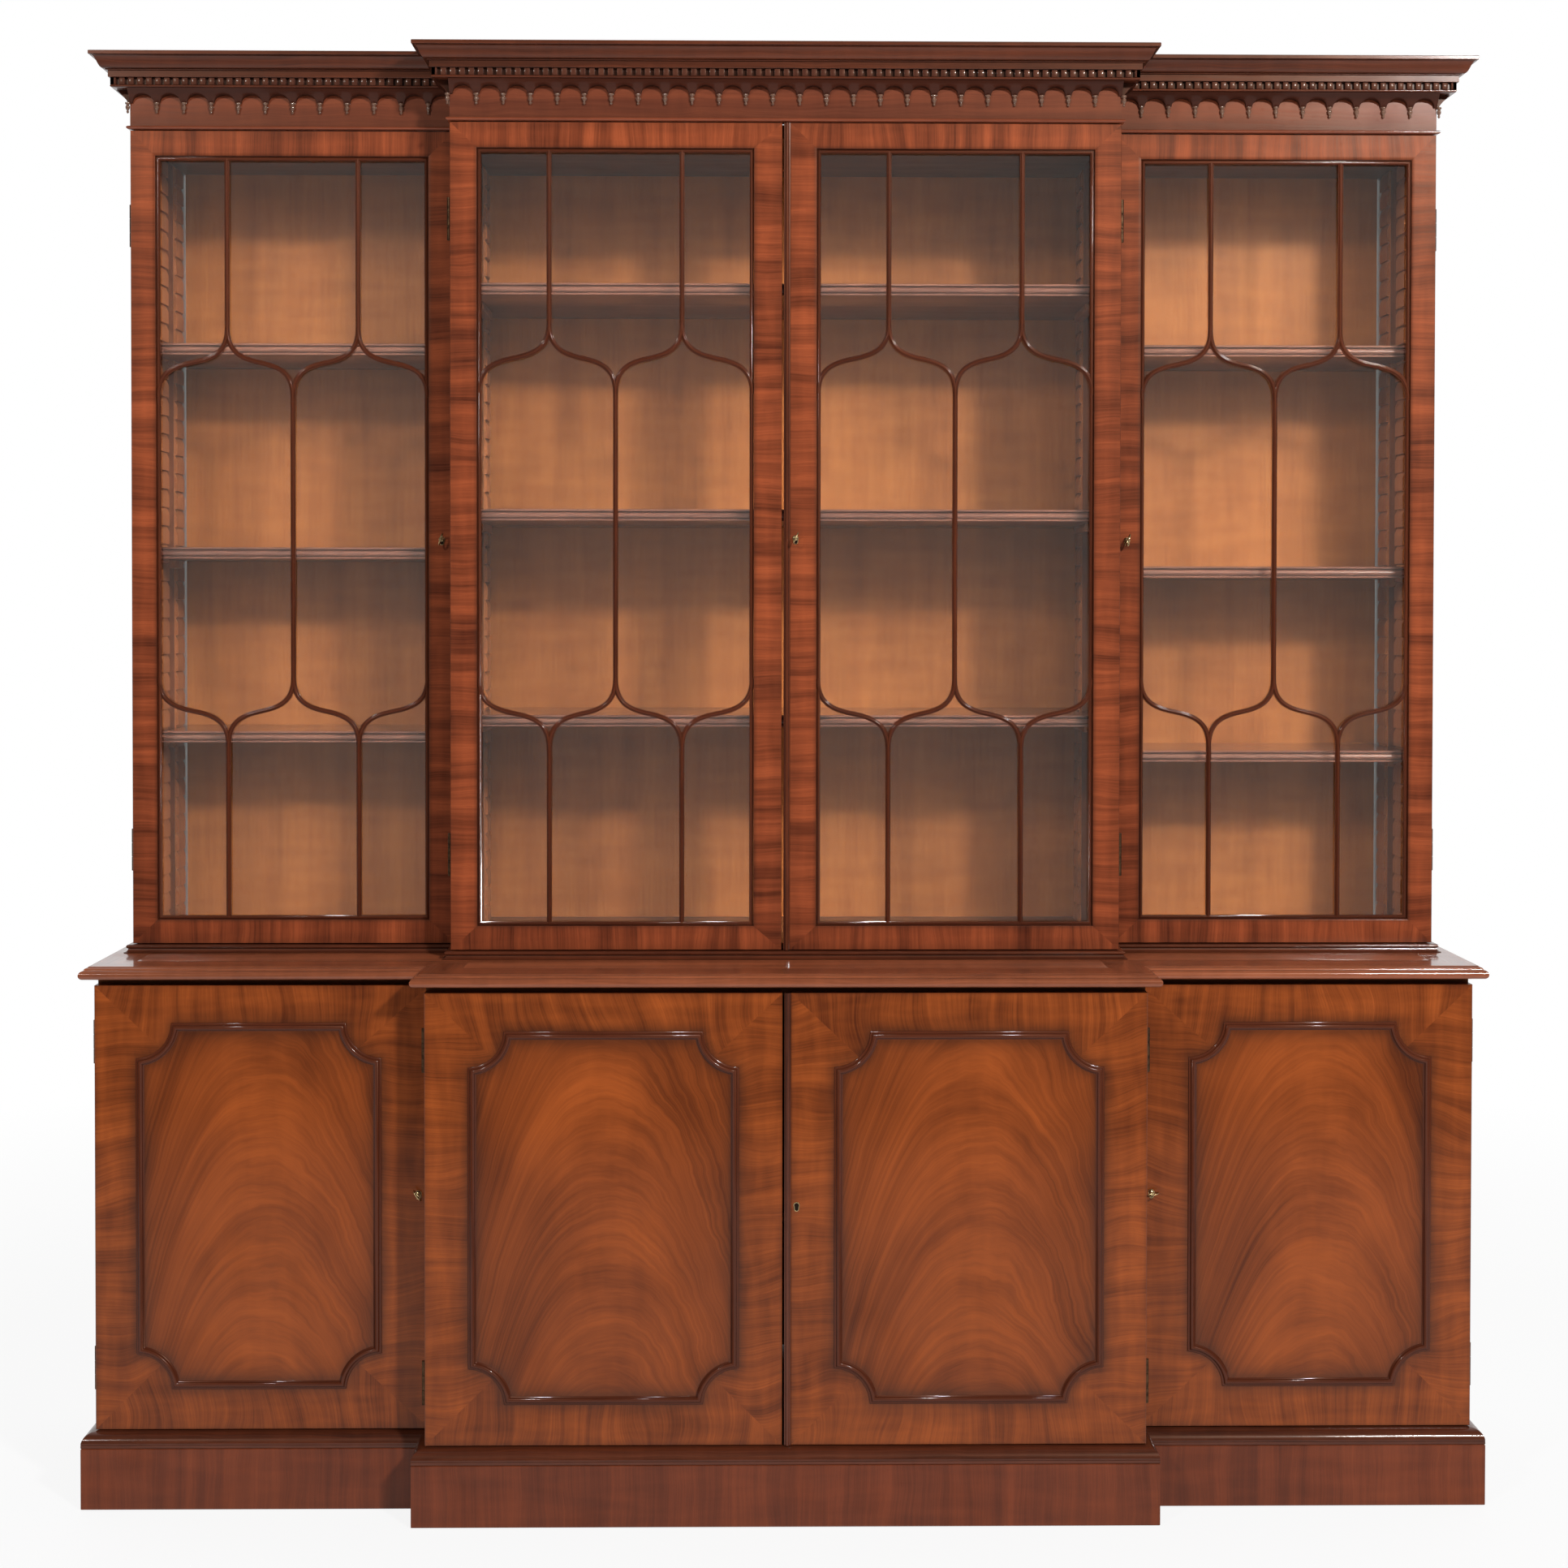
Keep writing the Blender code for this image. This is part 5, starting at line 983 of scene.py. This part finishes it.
panels = {"top": 0.0545, "bottom": 0.0595, "notch": 0.0510, "wide": 0.0120, "high": 0.0055, "steps": 12, "shadeHalo": 0.017,
          "rows": 46, "rings": (0.0, 0.0, 0.015, 0.035, 0.06, 0.10, 0.17, 0.28, 0.45, 0.7, 0.97), "sunk": 0.0003,
          "lift": 0.15, "wander": 0.02}


def notchedOutline(low, high, inset):
    # A rectangle whose corners are quadrants struck inward from the corners, drawn in evenly.
    reach = panels["notch"] + inset
    swing = math.degrees(math.asin(inset / reach))
    corners = [(low[0], low[1], 0), (high[0], low[1], 90), (high[0], high[1], 180), (low[0], high[1], 270)]
    return np.concatenate([arcPoints((x, z), (reach, reach), turn + 90 - swing, turn + swing, panels["steps"])
                           for x, z, turn in corners])


def shadeHaloOf(points, outline, fall, most):
    # Painted shade beside the moulding: e to the minus distance from its edge, by the least distance to the outline.
    span = np.roll(outline, -1, axis=0) - outline
    p = points.reshape(-1, 1, 2) - outline
    t = np.clip((p * span).sum(-1) / (span ** 2).sum(-1), 0, 1)
    gap = np.linalg.norm(p - t[..., None] * span, axis=-1).min(axis=1).reshape(points.shape[:-1])
    return np.exp(-np.maximum(gap - panels["wide"] / 2, 0) / panels["shadeHalo"] * fall) * most


def makeLowerDoor(door):
    # A bordered board, a field of rings shrinking from the notched outline to its middle, and the moulding round it.
    name, face, half = door["name"], door["face"], panels["wide"] / 2
    x0, z0, x1, z1 = rectangleOf(door, door["margins"], panels["bottom"], panels["top"])
    low, high = np.array([x0, z0]), np.array([x1, z1])
    line = notchedOutline(low, high, half)
    back = face + doorSizes["thick"]
    reach = panels["notch"] + 0.016
    shares = np.linspace(0.0, 1.0, 26)[1:-1]
    profile = [(0.0, back), (0.0, face + doorSizes["soft"]), (0.007, face), *[(s, face) for s in shares], (1.0, face),
               (1.0, back)]

    # Painted shade beside the moulding and along the door's outer edge.
    def shade(flat, share):
        return np.maximum(shadeHaloOf(flat, line, 1.6, 0.75), np.interp(share, [0, 0.01, 0.05], [0.45, 0.25, 0]))

    blocks = memberBlocks(rectangleOf(door), (*(low + reach), *(high - reach)), profile, panels["rows"], shade)
    addPiece(name + "_board", blocks, "borderMahogany", name, name)
    centre = (low + high) / 2
    flat = np.array([line + (centre - line) * share for share in panels["rings"]])
    depth = np.full((len(flat), 1), face - panels["sunk"])
    depth[0] += 0.004
    shift = chance.uniform(-panels["wander"], panels["wander"], 2)
    grain = ringsOf(flat - [centre[0], low[1] - panels["lift"]] + shift, 2, chance.uniform(-9, 9))
    # The field gets the same painted shade beside the moulding.
    block = ringBlock(ringsOf(flat, 1, depth), grain, shadeHaloOf(flat, line, 1.7, 0.7))
    addPiece(name + "_flame_field", [block], "flameMahogany", name)
    bead = arcPoints((0.0006, 0.0020), (0.0034, panels["high"] - 0.0020), 180, 0, 12)
    section = outlineOf((-half, -0.0010), (-half, 0.0010), (-half + 0.0006, 0.0016), (-half + 0.0020, 0.0018), bead,
                        (half - 0.0016, 0.0014), (half - 0.0004, 0.0010), (half, 0.0004), (half, -0.0010))
    block = barBlock(line, section, face, closed=True)
    addPiece(name + "_panel_moulding", [block], "panelBeadMahogany", name, sharp=50)
    addMeetingBead(door)


hinges = {"axisBack": 0.02025, "standoff": 0.0034, "high": 0.064, "radius": 0.0030, "leafThick": 0.0012,
          "leafWide": 0.0170, "leafStart": 0.0038, "leafRoot": 0.6, "upperInset": 0.140, "lowerInset": 0.085,
          "cap": 0.0004, "gap": 0.0002, "apart": 0.00015}


def makeHinges():
    # Butt hinges: a barrel of three knuckles with chamfered ends, and a leaf on each side.
    caseBlocks = []
    r, cap, third, half = hinges["radius"], hinges["cap"], hinges["high"] / 3, hinges["high"] / 2
    for door in doors:
        sign, stage, mine = door["sign"], door["stage"], []
        x = door["hinge"] + sign * hinges["standoff"]
        y = door["face"] + hinges["axisBack"]
        root = x - sign * hinges["leafStart"] * hinges["leafRoot"]
        tip = x - sign * (hinges["leafStart"] + hinges["leafWide"])
        inset = hinges["upperInset"] if door["upper"] else hinges["lowerInset"]
        for z in (stage["low"] + inset, stage["high"] - inset):
            for k in (-1, 0, 1):
                foot = z + k * third - third / 2 + hinges["gap"]
                head = foot + third - 2 * hinges["gap"]
                knuckle = turnedBlock([(0, foot), (r - cap, foot), (r, foot + cap), (r, head - cap), (r - cap, head),
                                       (0, head)], (x, y, 0), 18)
                (mine if k == 0 else caseBlocks).append(knuckle)
            for blocks, way in ((mine, -1), (caseBlocks, 1)):
                near = y + way * hinges["apart"]
                blocks.append(boardBlock((root, near, z - half), (tip, near + way * hinges["leafThick"], z + half), 2,
                                         plan["fineEase"]))
        addPiece(door["name"] + "_hinges", mine, "hingeBrass", door["name"])
    addPiece("case_hinge_leaves", caseBlocks, "hingeBrass", "case")


locks = {"edge": 0.001, "wide": 0.034, "high": 0.036, "thick": 0.009, "sheets": ((0, 0.0022), (0.0068, 0.009)),
         "post": 0.0014, "postSpan": (0.002, 0.007), "postPlace": (0.005, 0.012), "plateWide": 0.016,
         "plateLong": 0.090, "plateThick": 0.004, "plateSet": 0.020, "plateDrop": 0.003, "ringHigh": 0.0052,
         "ringHalf": 0.0040, "ringWide": 0.0009}


def keyholeOutline(half, drop, x, z, steps=8):
    # A circle above a narrower round foot, joined by straight sides.
    top = arcPoints((0, 0), (half, half), -35, 215, steps + 4)
    foot = arcPoints((0, -drop), (half * 0.78, half * 0.78), 190, 350, steps)
    return np.concatenate([top, foot]) + [x, z]


def makeLocks():
    # Two sheets and a post inside a door, a raised ring and a dark plug of painted shade in the keyhole outside; for a
    # slide bolt, one plate.
    for door in doors:
        name, sign, face = door["name"], door["sign"], door["face"]
        back = face + doorSizes["thick"]
        if door["backset"] is None:
            middle, half = door["free"] - locks["plateSet"], locks["plateWide"] / 2
            top = door["stage"]["ceiling"] - locks["plateDrop"]
            plate = boardBlock((middle - half, back, top - locks["plateLong"]),
                               (middle + half, back + locks["plateThick"], top), 2, 0.0006)
            addPiece(name + "_bolt_plate", [plate], "agedBrass", name)
            continue
        edge = door["free"] + sign * locks["edge"]
        far = edge + sign * locks["wide"]
        x, z, half = door["free"] + sign * door["backset"], door["lockZ"], locks["high"] / 2
        blocks = [boardBlock((edge, back + y0, z - half), (far, back + y1, z + half), 2, 0.0005)
                  for y0, y1 in locks["sheets"]]
        y0, y1 = (back + y for y in locks["postSpan"])
        aside, down = locks["postPlace"]
        blocks.append(turnedBlock([(0, y0), (locks["post"], y0), (locks["post"], y1), (0, y1)],
                                  (far - sign * aside, 0, z - sign * down), 12, axis=1))
        addPiece(name + "_lock_case", blocks, "lockSteel", name)
        section = outlineOf((-0.0007, -0.001), (-0.0007, 0.0005), (-0.0003, 0.0009), (0.0003, 0.0009), (0.0007, 0.0005),
                            (0.0007, -0.001))
        ring = keyholeOutline(locks["ringHalf"], locks["ringHigh"], x, z)
        addPiece(name + "_escutcheon", [barBlock(ring, section, face, closed=True)], "agedBrass", name)
        # A dark plug fills the keyhole: painted shade standing for the dark inside of the hole.
        hole = keyholeOutline(locks["ringHalf"] - locks["ringWide"], locks["ringHigh"], x, z)
        rings = ringsOf(hole, 1, [[face + 0.002], [face - 0.0001]])
        addPiece(name + "_keyhole", [ringBlock(rings)], "keyholeShadow", name)


keys = {"turns": {"upper_left_wing": 18, "upper_right_centre": 24, "upper_right_wing": 16, "lower_left_wing": -38,
                  "lower_right_wing": 74},
        "standoff": 0.0065, "bowLong": 0.0150, "bowHigh": 0.0200, "wire": 0.0013, "flatness": 0.8, "shank": 0.0018,
        "collar": [(1.1, -0.0052), (1.7, -0.0047), (1.8, -0.0040), (1.3, -0.0035), (1.0, -0.0030)], "short": 0.0009,
        "bit": (0.0009, 0.0047, 0.0044), "soft": 0.0004}


def makeKeys():
    # An oval bow of round wire, a collar, a round shank and a flat bit, turned about the key's own axis.
    around, wire = (np.linspace(0, 2 * np.pi, count, endpoint=False) for count in (36, 10))
    c, s = np.cos(around)[:, None], np.sin(around)[:, None]
    thick, r, seat = keys["wire"], keys["shank"], -keys["standoff"]
    ring = thick * np.cos(wire)
    bow = np.stack([np.broadcast_to(thick * keys["flatness"] * np.sin(wire), (36, 10)),
                    seat - keys["bowLong"] / 2 + (keys["bowLong"] / 2 - thick + ring) * c,
                    (keys["bowHigh"] / 2 - thick + ring) * s], -1)
    tip = doorSizes["thick"] + locks["thick"] - keys["short"]
    shank = [(0, seat - 0.0012), (r * 1.1, seat - 0.0010), *[(r * share, y) for share, y in keys["collar"]],
             (r, tip - keys["soft"]), (r * 0.8, tip), (0, tip)]
    half, start, down = keys["bit"]
    for door in doors:
        name = door["name"]
        short = name.removesuffix("_door")
        if short not in keys["turns"]:
            continue
        blocks = [ringBlock(bow, closed=True), turnedBlock(shank, (0, 0, 0), 16, axis=1),
                  boardBlock((-half, tip - start, -down), (half, tip - keys["soft"], 0.0), 2, 0.0002)]
        swing = math.radians(keys["turns"][short])
        turn = np.array([[math.cos(swing), 0, math.sin(swing)], [0, 1, 0], [-math.sin(swing), 0, math.cos(swing)]])
        spot = np.array([door["free"] + door["sign"] * door["backset"], door["face"], door["lockZ"]])
        placed = [(points @ turn.T + spot, faces, grain, paintedShade) for points, faces, grain, paintedShade in blocks]
        addPiece(name + "_brass_key", placed, "agedBrass", short + "_key", name + "_key", sharp=50)


for door in doors:
    if door["upper"]:
        makeUpperFrame(door)
        makeBars(door)
    else:
        makeLowerDoor(door)
makeHinges()
makeLocks()
makeKeys()
print("doors made")

# floor, light and camera

studio = {"floorReach": 30.0, "floorDrop": 0.0005, "fade": (1.6, 3.4), "leastWhite": 0.88, "inFront": (-3.0, -0.9),
          "pale": 0.80, "mirrored": 0.10, "keyRight": (2.3, -4.4, 3.4), "keyLeft": (-2.6, -4.4, 3.4), "keySize": 0.45,
          "rightWatts": 232.0, "leftWatts": 84.0, "aim": (0, 0, 1.1), "world": 0.08, "horizon": (-0.15, 0.35)}


def makeStage():
    # A wide square of floor: pale, white to the camera, and shown in gloss only where it lies behind the doors.
    reach, drop = studio["floorReach"], -studio["floorDrop"]
    mesh = bpy.data.meshes.new("studio_floor")
    mesh.from_pydata([(-reach, -reach, drop), (reach, -reach, drop), (reach, reach, drop), (-reach, reach, drop)], [],
                     [(0, 1, 2, 3)])
    floor = bpy.data.objects.new("studio_floor", mesh)
    bpy.context.scene.collection.objects.link(floor)
    tree, shader, place = newLook("paleFloor")
    depth = nodeOf(tree, "SeparateXYZ", {0: place}).outputs[1]
    away = vectorNode(tree, "LENGTH", place).outputs["Value"]
    far = spread(tree, away, *studio["fade"], studio["leastWhite"], 1.0)
    rays = tree.nodes.new("ShaderNodeLightPath").outputs
    gloss = mathNode(tree, "MULTIPLY", rays["Is Glossy Ray"], spread(tree, depth, *studio["inFront"]))
    seen = mathNode(tree, "ADD", mathNode(tree, "ADD", rays["Is Camera Ray"], gloss), rays["Is Transmission Ray"],
                    clamp=True)
    shy = mathNode(tree, "SUBTRACT", rays["Is Glossy Ray"], gloss, clamp=True)
    colour = mixColours(tree, shy, (studio["pale"],) * 3, (studio["mirrored"],) * 3)
    fill(tree, shader, {"Base Color": colour, "Roughness": 0.6, "Specular IOR Level": 0.2})
    mix = nodeOf(tree, "MixShader", {0: mathNode(tree, "MULTIPLY", far, seen), 1: shader.outputs[0],
                                     2: nodeOf(tree, "Emission", {}).outputs[0]})
    fill(tree, tree.nodes["Material Output"], {0: mix.outputs[0]})
    mesh.materials.append(looks["paleFloor"][0])


def makeWorld():
    # White behind the bookcase, grey on the side it faces, by the direction's Y; a camera sees white all round.
    world = bpy.data.worlds.new("studio")
    bpy.context.scene.world = world
    world.use_nodes = True
    tree = world.node_tree
    place = tree.nodes.new("ShaderNodeTexCoord").outputs["Generated"]
    depth = nodeOf(tree, "SeparateXYZ", {0: place}).outputs[1]
    rays = tree.nodes.new("ShaderNodeLightPath").outputs
    seen = mathNode(tree, "ADD", rays["Is Camera Ray"], rays["Is Transmission Ray"], clamp=True)
    level = mathNode(tree, "MAXIMUM", spread(tree, depth, *studio["horizon"], studio["world"], 1.0), seen)
    fill(tree, tree.nodes["Background"], {0: mixColours(tree, level, (0, 0, 0), (1.0, 1.0, 1.0))})


def addLamp(name, place, watts):
    lamp = bpy.data.lights.new(name, "AREA")
    lamp.shape, lamp.size, lamp.energy = "DISK", studio["keySize"], watts
    item = bpy.data.objects.new(name, lamp)
    item.location = place
    item.rotation_euler = (Vector(studio["aim"]) - Vector(place)).to_track_quat("-Z", "Y").to_euler()
    bpy.context.scene.collection.objects.link(item)


view = {"lens": 56.83, "shiftY": -0.0805, "x": -0.0508, "away": 3.521, "z": 1.3025, "yaw": 0.0132, "pitch": 0.0182,
        "roll": 0.0012, "sensor": 36, "far": 200}


def makeCamera():
    # Square on, with the lens shifted down; the small turns are those of the photograph.
    data = bpy.data.cameras.new("photo_view")
    data.lens, data.sensor_width = view["lens"], view["sensor"]
    data.shift_y, data.clip_end = view["shiftY"], view["far"]
    camera = bpy.data.objects.new("photo_view", data)
    camera.location = (view["x"], lowerStage["front"] - view["away"], view["z"])
    camera.rotation_euler = (math.pi / 2 - view["pitch"], 0, -view["yaw"])
    camera.rotation_euler.rotate_axis("Z", view["roll"])
    bpy.context.scene.collection.objects.link(camera)
    bpy.context.scene.camera = camera


makeStage()
makeWorld()
addLamp("right_lamp", studio["keyRight"], studio["rightWatts"])
addLamp("left_lamp", studio["keyLeft"], studio["leftWatts"])
makeCamera()
bpy.context.scene.view_settings.view_transform = "Standard"
print("studio made")
